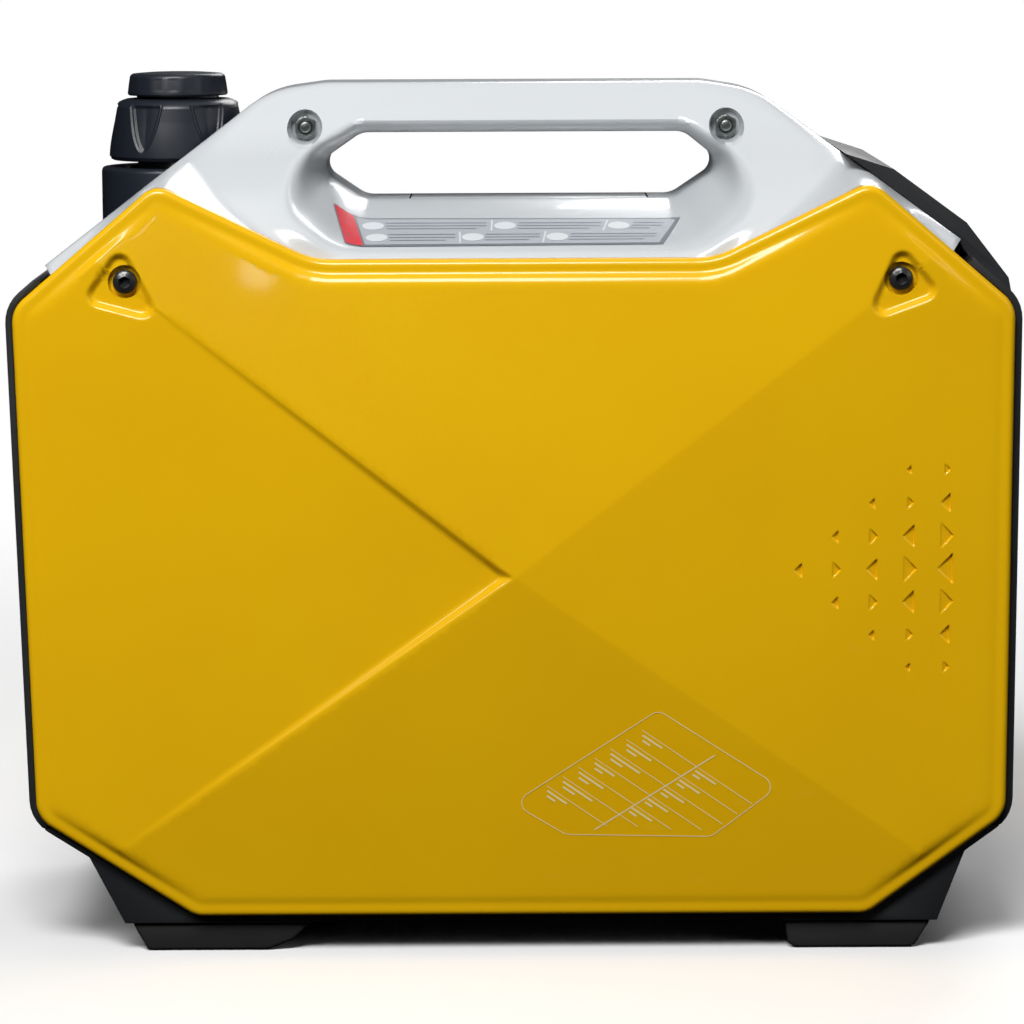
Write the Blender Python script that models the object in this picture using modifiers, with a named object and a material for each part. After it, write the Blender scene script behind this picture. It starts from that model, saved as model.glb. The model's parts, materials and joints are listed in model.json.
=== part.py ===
# Portable inverter generator in a suitcase housing with a top handle.
# Metres, +Z up. X is the length: control panel at -X, exhaust at +X.
# The plain side is -Y, the recoil starter side is +Y. The feet stand on z = 0.
import math

import bmesh
import bpy
from mathutils import Matrix, Vector

for old in list(bpy.data.objects):
    bpy.data.objects.remove(old, do_unlink=True)

# ---------------------------------------------------------------- dimensions
gap = 0.0004                # clearance between parts that touch
wall = 0.0035               # end covers and tray
skin = 0.0026               # side panels and handle shells

side_plane = 0.130          # half width over the flat border of a side panel
apex_bulge = 0.015          # how far a side panel's pyramid stands out
skirt_depth = 0.022         # side panel edge, back towards the middle
ring_half = 0.1235          # half width of the covers and the tray
apex_z = 0.195

# corners of the side panel's outline as (x, z, rounding radius)
panel_corners = [
    (-0.178, 0.391, 0.012), (-0.100, 0.353, 0.040), (0.100, 0.353, 0.040), (0.178, 0.391, 0.012),
    (0.250, 0.329, 0.016), (0.248, 0.070, 0.016), (0.178, 0.019, 0.014), (-0.163, 0.019, 0.014),
    (-0.243, 0.070, 0.016), (-0.2505, 0.329, 0.016),
]

# top of the white shells above the panel, from the left slope to the right one
roof_corners = [
    (-0.2345, 0.3500, 0.002), (-0.1270, 0.4330, 0.050), (-0.0980, 0.4370, 0.050),
    (0.0990, 0.4370, 0.050), (0.1260, 0.4325, 0.050), (0.2235, 0.3610, 0.002),
]
# half width of the white shells at a height
lean = [(0.335, 0.1235), (0.366, 0.1205), (0.380, 0.106), (0.394, 0.078), (0.408, 0.050),
        (0.420, 0.036), (0.430, 0.0295), (0.4365, 0.019)]

hole_corners = [
    (-0.1035, 0.394, 0.008), (-0.078, 0.3765, 0.014), (0.0835, 0.3765, 0.014), (0.1095, 0.394, 0.008),
    (0.0885, 0.411, 0.012), (-0.079, 0.411, 0.012),
]
funnel_growth = 0.021
handle_bolt_x = (-0.1075, 0.110)
handle_bolt_z = 0.4145
handle_bolt_half = 0.034
plug_door = (-0.0545, 0.0705, 0.0200)      # x from, x to, half width

panel_bolt_x = (-0.1935, 0.1925)
panel_bolt_z = 0.3425
panel_bolt_radius = 0.006

foot_reach = 0.050
neck_x = -0.176
collar_radius = 0.0405

crank_x, crank_z = 0.060, 0.135
starter_radius = 0.076
grip_z = 0.176

door_low = (-0.122, 0.120)
door_high = (-0.022, 0.312)

panel_face_x = -0.2405
ac_sockets = {"left": -0.045, "right": 0.045}
ac_socket_z = 0.196
lid_hinge_z = ac_socket_z + 0.036
switch_y, switch_z = -0.055, 0.276
rocker_y, rocker_z = 0.058, 0.276
dc_y, dc_z = 0.058, 0.128
dc_button_y, ac_button_y = 0.022, -0.016
button_z = 0.128
ground_y, ground_z = -0.060, 0.124

# ----------------------------------------------------------------- materials
looks = {
    "yellow": ((0.70, 0.40, 0.008), 0.18, 0.0),
    "white": ((0.80, 0.83, 0.84), 0.22, 0.0),
    "black": ((0.020, 0.021, 0.024), 0.55, 0.0),
    "cap": ((0.018, 0.021, 0.030), 0.48, 0.0),
    "rubber": ((0.012, 0.012, 0.013), 0.85, 0.0),
    "steel": ((0.46, 0.47, 0.48), 0.32, 1.0),
    "dark steel": ((0.10, 0.105, 0.11), 0.35, 1.0),
    "aluminium": ((0.60, 0.61, 0.62), 0.42, 1.0),
    "copper": ((0.62, 0.30, 0.14), 0.35, 1.0),
    "grey plastic": ((0.16, 0.165, 0.17), 0.5, 0.0),
    "red": ((0.55, 0.02, 0.015), 0.4, 0.0),
    "rope": ((0.55, 0.54, 0.50), 0.8, 0.0),
    "ceramic": ((0.85, 0.84, 0.80), 0.25, 0.0),
}

parts = bpy.data.collections.new("portable_generator")
cutters = bpy.data.collections.new("cutters")
bpy.context.scene.collection.children.link(parts)
bpy.context.scene.collection.children.link(cutters)


def paint(obj, look):
    colour, roughness, metallic = looks[look]
    mat = bpy.data.materials.new(obj.name + "_" + look.replace(" ", "_"))
    mat.use_nodes = True
    shader = mat.node_tree.nodes["Principled BSDF"]
    shader.inputs["Base Color"].default_value = (*colour, 1.0)
    shader.inputs["Roughness"].default_value = roughness
    shader.inputs["Metallic"].default_value = metallic
    obj.data.materials.clear()
    obj.data.materials.append(mat)
    return obj


def place(name, mesh, look=None, at=(0, 0, 0), smooth=False):
    """Puts a mesh in the part, or among the cutters when it has no look."""
    obj = bpy.data.objects.new(name, mesh)
    obj.location = at
    if look:
        parts.objects.link(obj)
        paint(obj, look)
    else:
        cutters.objects.link(obj)
        obj.hide_render = True
        obj.display_type = "WIRE"
    if smooth:
        for face in mesh.polygons:
            face.use_smooth = True
    return obj


# -------------------------------------------------------------- basic shapes
def block(name, low, high, look=None, bevel=0.0, origin=None):
    low, high = Vector(low), Vector(high)
    origin = Vector(origin) if origin else (low + high) / 2
    bm = bmesh.new()
    bmesh.ops.create_cube(bm, size=1.0)
    for v in bm.verts:
        middle = (low + high) / 2
        v.co = Vector(v.co[i] * (high[i] - low[i]) + middle[i] for i in range(3)) - origin
    mesh = bpy.data.meshes.new(name)
    bm.to_mesh(mesh)
    bm.free()
    obj = place(name, mesh, look, origin)
    if bevel:
        soften(obj, bevel)
    return obj


def soften(obj, width, segments=2, angle=40):
    mod = obj.modifiers.new("Bevel", "BEVEL")
    mod.width = width
    mod.segments = segments
    mod.limit_method = "ANGLE"
    mod.angle_limit = math.radians(angle)
    return mod


turn_to = {"X": (0, math.pi / 2, 0), "Y": (-math.pi / 2, 0, 0), "Z": (0, 0, 0)}


def rod(name, axis, centre, start, end, radius, look=None, sides=32, end_radius=None):
    """Cylinder or cone along an axis, from start to end on that axis."""
    bm = bmesh.new()
    bmesh.ops.create_cone(bm, cap_ends=True, segments=sides, radius1=radius,
                          radius2=radius if end_radius is None else end_radius, depth=end - start)
    bmesh.ops.translate(bm, verts=bm.verts, vec=(0, 0, (start + end) / 2))
    mesh = bpy.data.meshes.new(name)
    bm.to_mesh(mesh)
    bm.free()
    obj = place(name, mesh, look, centre, smooth=False)
    obj.rotation_euler = turn_to[axis]
    shade_round(obj)
    return obj


def shade_round(obj):
    for face in obj.data.polygons:
        face.use_smooth = len(face.vertices) == 4
    return obj


def turned(name, axis, centre, profile, look=None, sides=32):
    """Profile of (radius, height) points turned round an axis, outer side downwards."""
    mesh = bpy.data.meshes.new(name)
    area = sum(a[0] * b[1] - b[0] * a[1] for a, b in zip(profile, profile[1:] + profile[:1]))
    if area > 0:
        profile = profile[::-1]
    points = [(r, 0, h) for r, h in profile]
    closed = profile[0][0] > 0 and profile[-1][0] > 0
    links = [(i, i + 1) for i in range(len(points) - 1)]
    if closed:
        links.append((len(points) - 1, 0))
    mesh.from_pydata(points, links, [])
    obj = place(name, mesh, look, centre)
    obj.rotation_euler = turn_to[axis]
    mod = obj.modifiers.new("Screw", "SCREW")
    mod.angle = 2 * math.pi
    mod.steps = sides
    mod.render_steps = sides
    mod.use_merge_vertices = True
    mod.merge_threshold = 0.00001
    mod.use_smooth_shade = True
    return obj


def rounded(corners, steps=5):
    """Outline with an arc at each (x, y, radius) corner."""
    outline = []
    count = len(corners)
    for i, (x, y, radius) in enumerate(corners):
        here = Vector((x, y))
        before = (Vector(corners[i - 1][:2]) - here).normalized()
        after = (Vector(corners[(i + 1) % count][:2]) - here).normalized()
        half = before.angle(after) / 2
        middle = here + (before + after).normalized() * radius / math.sin(half)
        first = here + before * radius / math.tan(half)
        last = here + after * radius / math.tan(half)
        start, end = first - middle, last - middle
        sweep = start.angle_signed(end)
        for k in range(steps + 1):
            swing = start.copy()
            swing.rotate(Matrix.Rotation(-sweep * k / steps, 2))
            outline.append(tuple(middle + swing))
    return outline


def grown(corners, amount):
    """The same corners moved outwards by an amount, or inwards if negative."""
    area = sum(a[0] * b[1] - b[0] * a[1] for a, b in zip(corners, corners[1:] + corners[:1]))
    side = 1 if area < 0 else -1
    result = []
    count = len(corners)
    for i, (x, y, radius) in enumerate(corners):
        here = Vector((x, y))
        arrive = (here - Vector(corners[i - 1][:2])).normalized()
        leave = (Vector(corners[(i + 1) % count][:2]) - here).normalized()
        out_1 = Vector((-arrive.y, arrive.x)) * side
        out_2 = Vector((-leave.y, leave.x)) * side
        bisector = (out_1 + out_2).normalized()
        moved = here + bisector * amount / bisector.dot(out_1)
        turning = arrive.cross(leave) * side
        change = amount if turning < 0 else -amount
        result.append((moved.x, moved.y, max(radius + change, 0.001)))
    return result


plane_turn = {"Y": (math.pi / 2, 0, 0), "X": (math.pi / 2, 0, math.pi / 2), "Z": (0, 0, 0)}


def plate(name, axis, outline, start, end, look=None, origin=(0, 0, 0)):
    """Flat outline given a thickness from start to end along an axis.

    The outline is (x, z) for Y, (y, z) for X and (x, y) for Z."""
    shift = {"Y": (origin[0], origin[2]), "X": (origin[1], origin[2]), "Z": origin[:2]}[axis]
    base = origin["XYZ".index(axis)]
    low, high = start - base, end - base
    if axis == "Y":
        low, high = -high, -low
    bm = bmesh.new()
    ring = [bm.verts.new((u - shift[0], v - shift[1], low)) for u, v in outline]
    face = bm.faces.new(ring)
    raised = bmesh.ops.extrude_face_region(bm, geom=[face])
    top = [g for g in raised["geom"] if isinstance(g, bmesh.types.BMVert)]
    bmesh.ops.translate(bm, verts=top, vec=(0, 0, high - low))
    bmesh.ops.recalc_face_normals(bm, faces=bm.faces)
    mesh = bpy.data.meshes.new(name)
    bm.to_mesh(mesh)
    bm.free()
    obj = place(name, mesh, look, origin)
    obj.rotation_euler = plane_turn[axis]
    return obj


def tube(name, path, radius, look, resolution=3):
    curve = bpy.data.curves.new(name, "CURVE")
    curve.dimensions = "3D"
    curve.bevel_depth = radius
    curve.bevel_resolution = resolution
    curve.use_fill_caps = True
    spline = curve.splines.new("POLY")
    spline.points.add(len(path) - 1)
    for point, co in zip(spline.points, path):
        point.co = (*co, 1)
    obj = bpy.data.objects.new(name, curve)
    parts.objects.link(obj)
    paint(obj, look)
    return obj


def cut(obj, tool, operation="DIFFERENCE"):
    mod = obj.modifiers.new(operation.title(), "BOOLEAN")
    mod.operation = operation
    mod.object = tool
    mod.solver = "EXACT"
    return mod


def strip(corners, first, last, inner, outer, before=0.0, after=0.0):
    """Closed outline of the wall that follows some corners of the panel.

    before and after are how far it runs on along the edges next to them."""
    lines = []
    for amount in (outer, inner):
        moved = grown(corners, amount)
        line = rounded(moved)
        per = len(line) // len(corners)
        count = len(corners)
        span = (last - first) % count
        run = [line[((first + k) % count) * per + s] for k in range(span + 1) for s in range(per)]
        if before:
            run.insert(0, step_towards(run[0], moved[first - 1], before))
        if after:
            run.append(step_towards(run[-1], moved[(last + 1) % count], after))
        lines.append(run)
    return lines[0] + lines[1][::-1]


def step_towards(start, target, distance):
    start, target = Vector(start[:2]), Vector(target[:2])
    return tuple(start + (target - start).normalized() * distance)


# --------------------------------------------------------------- side panels
def side_panel(name, side):
    """Flat border, a low pyramid and a skirt, as one skin of even thickness."""
    bm = bmesh.new()
    y = side * side_plane
    lines = [rounded(panel_corners, 4), rounded(grown(panel_corners, -0.008), 4)]
    ring, inner = [[bm.verts.new((x, y, z)) for x, z in line] for line in lines]
    for i in range(len(ring)):
        bm.faces.new((ring[i - 1], ring[i], inner[i], inner[i - 1]))
    poked = bmesh.ops.poke(bm, faces=[bm.faces.new(inner)])
    poked["verts"][0].co = (0, side * (side_plane + apex_bulge), apex_z)
    outer_edges = [e for e in bm.edges if len(e.link_faces) == 1]
    skirt = bmesh.ops.extrude_edge_only(bm, edges=outer_edges)
    moved = [g for g in skirt["geom"] if isinstance(g, bmesh.types.BMVert)]
    bmesh.ops.translate(bm, verts=moved, vec=(0, -side * skirt_depth, 0))
    bmesh.ops.recalc_face_normals(bm, faces=bm.faces)
    middle = [f for f in bm.faces if f.calc_center_median().y * side > side_plane][0]
    if middle.normal.y * side < 0:
        bmesh.ops.reverse_faces(bm, faces=bm.faces)
    mesh = bpy.data.meshes.new(name)
    bm.to_mesh(mesh)
    bm.free()
    panel = place(name, mesh, "yellow")
    thick = panel.modifiers.new("Solidify", "SOLIDIFY")
    thick.thickness = skin
    thick.offset = -1
    thick.use_even_offset = False
    for end, x in zip(("front", "rear"), panel_bolt_x):
        hole = rod(name + "_bolt_hole_" + end, "Y", (x, 0, panel_bolt_z),
                   side * side_plane - 0.02, side * side_plane + 0.02, panel_bolt_radius + gap, sides=20)
        cut(panel, hole)
    return panel


def side_panels():
    side_panel("near_side_panel", -1)
    far = side_panel("far_side_panel", 1)
    cut(far, rod("starter_opening", "Y", (crank_x, 0, crank_z), 0.09, 0.16, starter_radius + 0.0025, sides=48))
    low, high = door_low, door_high
    cut(far, block("door_opening", (low[0], 0.10, low[1]), (high[0], 0.16, high[1])))
    z = (low[1] + high[1]) / 2
    door = block("service_door", (low[0] + 0.001, side_plane - 0.002, low[1] + 0.001),
                 (high[0] - 0.001, side_plane + 0.0035, high[1] - 0.001), "yellow",
                 origin=(low[0] + 0.001, side_plane + 0.0035, z))
    hole = rod("door_latch_hole", "Y", (high[0] - 0.016, 0, z), 0.11, 0.15, 0.0064, sides=24)
    cut(door, hole)
    soften(door, 0.0008, 1)
    turned("service_door_latch", "Y", (high[0] - 0.016, side_plane, z),
           [(0, -0.010), (0.006, -0.010), (0.006, 0.0040), (0.010, 0.0040), (0.010, 0.0075),
            (0.009, 0.0085), (0, 0.0085)], "black", 24)


def panel_bolts():
    for side, where in ((-1, "near"), (1, "far")):
        for end, x in zip(("front", "rear"), panel_bolt_x):
            face = side_plane - 0.0015
            low, high = sorted((side * (face + 0.0035), side * (face - 0.0135)))
            rod("{}_panel_bolt_{}".format(where, end), "Y", (x, 0, panel_bolt_z),
                low, high, panel_bolt_radius, "black", 24)


# -------------------------------------------------------------- handle shells
def open_line(corners, steps=4):
    """Line with an arc at each corner but the two ends."""
    full = rounded(corners, steps)
    per = steps + 1
    return [tuple(corners[0][:2])] + full[per:-per] + [tuple(corners[-1][:2])]


def foot_on_slope(start, a, b):
    """Point of the line a-b that is nearest to start."""
    a, b = Vector(a[:2]), Vector(b[:2])
    along = (b - a).normalized()
    return tuple(a + along * (Vector(start[:2]) - a).dot(along))


def crown_outline():
    """The white top seen from the side: the roof line and the panel's top edge."""
    edge = grown(panel_corners, gap)
    left = foot_on_slope(roof_corners[0], edge[0], edge[-1])
    right = foot_on_slope(roof_corners[-1], edge[3], edge[4])
    steps = 4
    top_edge = rounded(edge, steps)[:4 * (steps + 1)]
    return open_line(roof_corners) + [right] + top_edge[::-1] + [left]


def lean_outline(side, inset, bottom):
    """Half section of the white top, from the middle plane outwards."""
    line = [(max(y - inset, 0.003), z) for z, y in lean if z > bottom]
    line = [(line[0][0], bottom)] + line
    line[-1] = (line[-1][0], lean[-1][0] - inset)
    middle = gap / 2 if inset == 0 else -0.01
    outline = [(side * middle, bottom)] + [(side * y, z) for y, z in line]
    return outline + [(side * middle, line[-1][1])]


def funnel(name, side, growth):
    """Tapered cutter that opens the finger hole towards one side."""
    slim = rounded(grown(hole_corners, growth))
    wide = rounded(grown(hole_corners, growth + funnel_growth))
    stations = [(-0.012, slim), (0.024, slim), (0.1205, wide), (0.2, wide)]
    bm = bmesh.new()
    rings = [[bm.verts.new((x, side * y, z)) for x, z in line] for y, line in stations]
    count = len(slim)
    for a, b in zip(rings, rings[1:]):
        for i in range(count):
            j = (i + 1) % count
            bm.faces.new((a[i], a[j], b[j], b[i]))
    bm.faces.new(rings[0])
    bm.faces.new(rings[-1])
    bmesh.ops.recalc_face_normals(bm, faces=bm.faces)
    mesh = bpy.data.meshes.new(name)
    bm.to_mesh(mesh)
    bm.free()
    return place(name, mesh)


def upper_shell(name, side):
    """One half of the white top with the handle, hollow inside."""
    shell = plate(name, "X", lean_outline(side, 0, 0.335), -0.25, 0.25, "white")
    cut(shell, plate(name + "_crown", "Y", crown_outline(), -0.2, 0.2), "INTERSECT")
    hollow = plate(name + "_hollow", "X", lean_outline(side, skin, 0.30), -0.25, 0.25)
    inner = [(x, z - 0.0042, r) for x, z, r in roof_corners]
    inner[0] = (inner[0][0] + 0.006, inner[0][1], 0.002)
    inner[-1] = (inner[-1][0] - 0.006, inner[-1][1], 0.002)
    low = [(inner[-1][0], 0.29), (inner[0][0], 0.29)]
    cut(hollow, plate(name + "_inside", "Y", open_line(inner) + low, -0.2, 0.2), "INTERSECT")
    cut(hollow, funnel(name + "_hole_wall", side, 0.0034))
    for end, x in zip(("front", "rear"), handle_bolt_x):
        cut(hollow, rod(name + "_boss_" + end, "Y", (x, 0, handle_bolt_z), -0.1, 0.1, 0.0115, sides=24))
    cut(shell, hollow)
    cut(shell, funnel(name + "_finger_hole", side, 0))
    for end, x in zip(("front", "rear"), handle_bolt_x):
        cut(shell, rod(name + "_bolt_" + end, "Y", (x, 0, handle_bolt_z), -0.1, 0.1, 0.0034, sides=16))
        low, high = sorted((side * (handle_bolt_half - 0.004), side * 0.12))
        cut(shell, rod(name + "_recess_" + end, "Y", (x, 0, handle_bolt_z), low, high, 0.0083, sides=24))
    cut(shell, rod(name + "_neck", "Z", (neck_x, 0, 0), 0.30, 0.45, collar_radius + 0.0006, sides=40))
    cut(shell, block(name + "_plug_door", (plug_door[0], -plug_door[2], 0.36),
                     (plug_door[1], plug_door[2], 0.39)))
    return shell


def handle():
    for name, side in (("upper_shell_near", -1), ("upper_shell_far", 1)):
        upper_shell(name, side)
    for end, x in zip(("front", "rear"), handle_bolt_x):
        centre = (x, 0, handle_bolt_z)
        bolt = rod("handle_bolt_" + end, "Y", centre, -handle_bolt_half - 0.004, handle_bolt_half - 0.0039,
                   0.003, "dark steel", 16)
        head = rod("handle_bolt_head_" + end, "Y", centre, handle_bolt_half - 0.0039,
                   handle_bolt_half + 0.0005, 0.0058, sides=6)
        cut(bolt, head, "UNION")
        nut = rod("handle_nut_" + end, "Y", centre, -handle_bolt_half - 0.0015, -handle_bolt_half + 0.0036,
                  0.0058, "dark steel", 6)
        cut(nut, rod("handle_nut_bore_" + end, "Y", centre, -0.05, 0.0, 0.0032, sides=16))
    block("spark_plug_cover", (plug_door[0] + 0.0005, -plug_door[2] + 0.0005, 0.3732),
          (plug_door[1] - 0.0005, plug_door[2] - 0.0005, 0.3763), "white", 0.0006)


# ------------------------------------------------------- end covers and tray
def front_cover():
    wall_line = strip(panel_corners, 8, 9, gap, gap + wall, after=0.0100)
    cover = plate("front_cover", "Y", wall_line, -ring_half, ring_half, "black")
    cut(cover, block("front_tray_cut", (-0.3, -0.2, 0.0), (-0.2, 0.2, 0.064)))
    cut(cover, block("panel_opening", (-0.3, -0.092, 0.101), (-0.2, 0.092, 0.312)))


def rear_cover():
    wall_line = strip(panel_corners, 4, 5, gap, gap + wall, before=0.0230)
    cover = plate("rear_cover", "Y", wall_line, -ring_half, ring_half, "black")
    a, b = Vector(roof_corners[-2][:2]), Vector(roof_corners[-1][:2])
    out = Vector((a.y - b.y, b.x - a.x)).normalized()
    if out.y < 0:
        out = -out
    start = a.lerp(b, 0.42)
    thick = 0.0085
    bulge = [start + out * gap, start.lerp(b, 0.35) + out * thick, b + out * thick,
             Vector((0.2500, 0.3400)), Vector((0.2542, 0.3180)), Vector((0.2506, 0.3180)),
             Vector((0.2506, 0.3290)), Vector((0.2270, 0.3540)), b + out * gap]
    crown = plate("rear_cover_crown", "Y", [tuple(p) for p in bulge], -0.096, 0.096)
    cut(cover, crown, "UNION")
    for row in range(8):
        for column in (-1, 0, 1):
            y, z = column * 0.053, 0.170 + row * 0.017
            cut(cover, block("louvre_{}_{}".format(row, column + 1), (0.2, y - 0.0235, z),
                             (0.3, y + 0.0235, z + 0.008)))
    cut(cover, rod("outlet_opening", "X", (0, -0.045, 0.118), 0.2, 0.3, 0.0185, sides=28))
    cut(cover, block("rear_tray_cut", (0.2, -0.2, 0.0), (0.3, 0.2, 0.064)))


def leg(name, side, outline):
    low, high = sorted((side * (ring_half - foot_reach), side * ring_half))
    return plate(name, "Y", outline, low, high)


def tray_and_feet():
    line = strip(panel_corners, 5, 8, gap, gap + wall)
    tray = plate("bottom_tray", "Y", line, -ring_half, ring_half, "black")
    for end, x in (("front", -0.3), ("rear", 0.2)):
        cut(tray, block("tray_top_" + end, (x, -0.2, 0.0636), (x + 0.1, 0.2, 0.4)))
    front_leg = [(-0.2185, 0.0515), (-0.1995, 0.0145), (-0.1040, 0.0145), (-0.1040, 0.0170), (-0.1655, 0.0170)]
    rear_leg = [(0.2290, 0.0535), (0.2140, 0.0145), (0.1345, 0.0145), (0.1345, 0.0170), (0.1795, 0.0170)]
    for side, where in ((-1, "near"), (1, "far")):
        for end, outline in (("front", front_leg), ("rear", rear_leg)):
            cut(tray, leg("leg_{}_{}".format(where, end), side, outline), "UNION")
    front_foot = [(-0.1960, 0.0140), (-0.1885, 0.0), (-0.1270, 0.0), (-0.1140, 0.0050), (-0.1050, 0.0140)]
    rear_foot = [(0.2110, 0.0140), (0.2035, 0.0015), (0.2010, 0.0), (0.1420, 0.0), (0.1385, 0.0020),
                 (0.1365, 0.0140)]
    for side, where in ((-1, "near"), (1, "far")):
        low, high = sorted((side * (ring_half - foot_reach + 0.003), side * (ring_half - 0.002)))
        for end, outline in (("front", front_foot), ("rear", rear_foot)):
            plate("foot_{}_{}".format(where, end), "Y", outline, low, high, "rubber")


# ----------------------------------------------------------------- fuel side
def fuel_system():
    tank = block("fuel_tank", (-0.216, -0.095, 0.200), (-0.082, 0.095, 0.338), "black", 0.012)
    cut(tank, rod("tank_neck", "Z", (neck_x, 0, 0), 0.33, 0.4115, 0.0215, sides=32), "UNION")
    cut(tank, block("tank_inside", (-0.2125, -0.0915, 0.2035), (-0.0855, 0.0915, 0.3345), bevel=0.0085))
    cut(tank, rod("neck_bore", "Z", (neck_x, 0, 0), 0.32, 0.45, 0.0175, sides=32))
    turned("fuel_neck_collar", "Z", (neck_x, 0, 0),
           [(0.0375, 0.3440), (collar_radius, 0.3440), (collar_radius, 0.3915), (0.0395, 0.3930),
            (0.0285, 0.3930), (0.0285, 0.3905), (0.0375, 0.3895)], "cap", 40)
    cap_base = 0.3965
    turned("fuel_cap", "Z", (neck_x, 0, cap_base),
           [(0, 0.0186), (0.0232, 0.0186), (0.0232, 0), (0.0345, 0), (0.0362, 0.0030), (0.0362, 0.0090),
            (0.0335, 0.0245), (0.0300, 0.0320), (0, 0.0320)], "cap", 40)
    turned("fuel_cap_gasket", "Z", (neck_x, 0, 0.4119),
           [(0.0180, 0), (0.0212, 0), (0.0212, 0.0026), (0.0180, 0.0026)], "rubber", 32)
    turned("vent_knob", "Z", (neck_x, 0, cap_base + 0.0324),
           [(0, 0), (0.0215, 0), (0.0262, 0.0012), (0.0250, 0.0100), (0.0215, 0.0125), (0, 0.0134)],
           "cap", 36)


# ------------------------------------------------------------- control panel
def socket(name, y, z, flange, bore, depth, look):
    """Round socket body with a flange in front of the panel and a bore."""
    face = 0.0055
    turned(name, "X", (panel_face_x, y, z),
           [(0, depth + 0.004), (bore + 0.003, depth + 0.004), (bore + 0.003, -gap),
            (flange, -gap), (flange, -face), (bore, -face), (bore, depth), (0, depth)], look, 32)


def control_panel():
    face, back = panel_face_x, panel_face_x + 0.0035
    board = block("control_panel", (face, -0.098, 0.095), (back, 0.098, 0.318), "grey plastic")
    for side, y in ac_sockets.items():
        cut(board, rod("socket_hole_" + side, "X", (0, y, ac_socket_z), -0.3, -0.2, 0.0236, sides=28))
        socket("ac_socket_" + side, y, ac_socket_z, 0.0285, 0.0195, 0.0165, "black")
        lid(side, y)
    cut(board, rod("dc_hole", "X", (0, dc_y, dc_z), -0.3, -0.2, 0.0140, sides=24))
    socket("dc_socket", dc_y, dc_z, 0.0160, 0.0104, 0.0200, "black")
    for name, y in (("dc_reset_button", dc_button_y), ("ac_reset_button", ac_button_y)):
        cut(board, rod(name + "_hole", "X", (0, y, button_z), -0.3, -0.2, 0.0065, sides=24))
        rod(name, "X", (face, y, button_z), -0.0050, 0.0100, 0.0060, "red", 24)
    cut(board, rod("switch_hole", "X", (0, switch_y, switch_z), -0.3, -0.2, 0.0054, sides=20))
    knob = rod("engine_switch_knob", "X", (face, switch_y, switch_z), -0.0095, -0.0006, 0.0190, "black", 36)
    cut(knob, rod("switch_stem", "X", (face, switch_y, switch_z), -0.002, 0.012, 0.0050, sides=20), "UNION")
    grip = block("switch_grip", (face - 0.0135, switch_y - 0.0045, switch_z - 0.0180),
                 (face - 0.0090, switch_y + 0.0045, switch_z + 0.0180))
    cut(knob, grip, "UNION")
    rocker_size = (0.0065, 0.0105)
    cut(board, block("rocker_hole", (-0.3, rocker_y - rocker_size[0] - gap, rocker_z - rocker_size[1] - 0.001),
                     (-0.2, rocker_y + rocker_size[0] + gap, rocker_z + rocker_size[1] + 0.001)))
    rocker_line = [(face + 0.0040, -0.0095), (face - 0.0045, -0.0100), (face - 0.0022, 0.0),
                   (face - 0.0010, 0.0100), (face + 0.0040, 0.0095)]
    plate("eco_rocker", "Y", [(x, rocker_z + z) for x, z in rocker_line], rocker_y - rocker_size[0],
          rocker_y + rocker_size[0], "black", (face + 0.002, rocker_y, rocker_z))
    cut(board, rod("ground_hole", "X", (0, ground_y, ground_z), -0.3, -0.2, 0.0034, sides=16))
    rod("ground_stud", "X", (face, ground_y, ground_z), -0.0125, 0.0100, 0.0030, "steel", 16)
    nut = rod("ground_nut", "X", (face, ground_y, ground_z), -0.0075, -0.0012, 0.0065, "steel", 6)
    cut(nut, rod("ground_nut_bore", "X", (face, ground_y, ground_z), -0.02, 0.0, 0.0033, sides=16))


def lid(side, y):
    """Spring lid in front of a socket, with its hinge barrel above."""
    front = panel_face_x - 0.0060
    hinge = (front - 0.0022, y, lid_hinge_z)
    cover = block("socket_lid_" + side, (front - 0.0045, y - 0.0285, ac_socket_z - 0.0300),
                  (front - 0.0008, y + 0.0285, lid_hinge_z - 0.0010), "grey plastic", origin=hinge)
    cut(cover, rod("lid_barrel_" + side, "Y", hinge, -0.024, 0.024, 0.0024, sides=16), "UNION")


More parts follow.
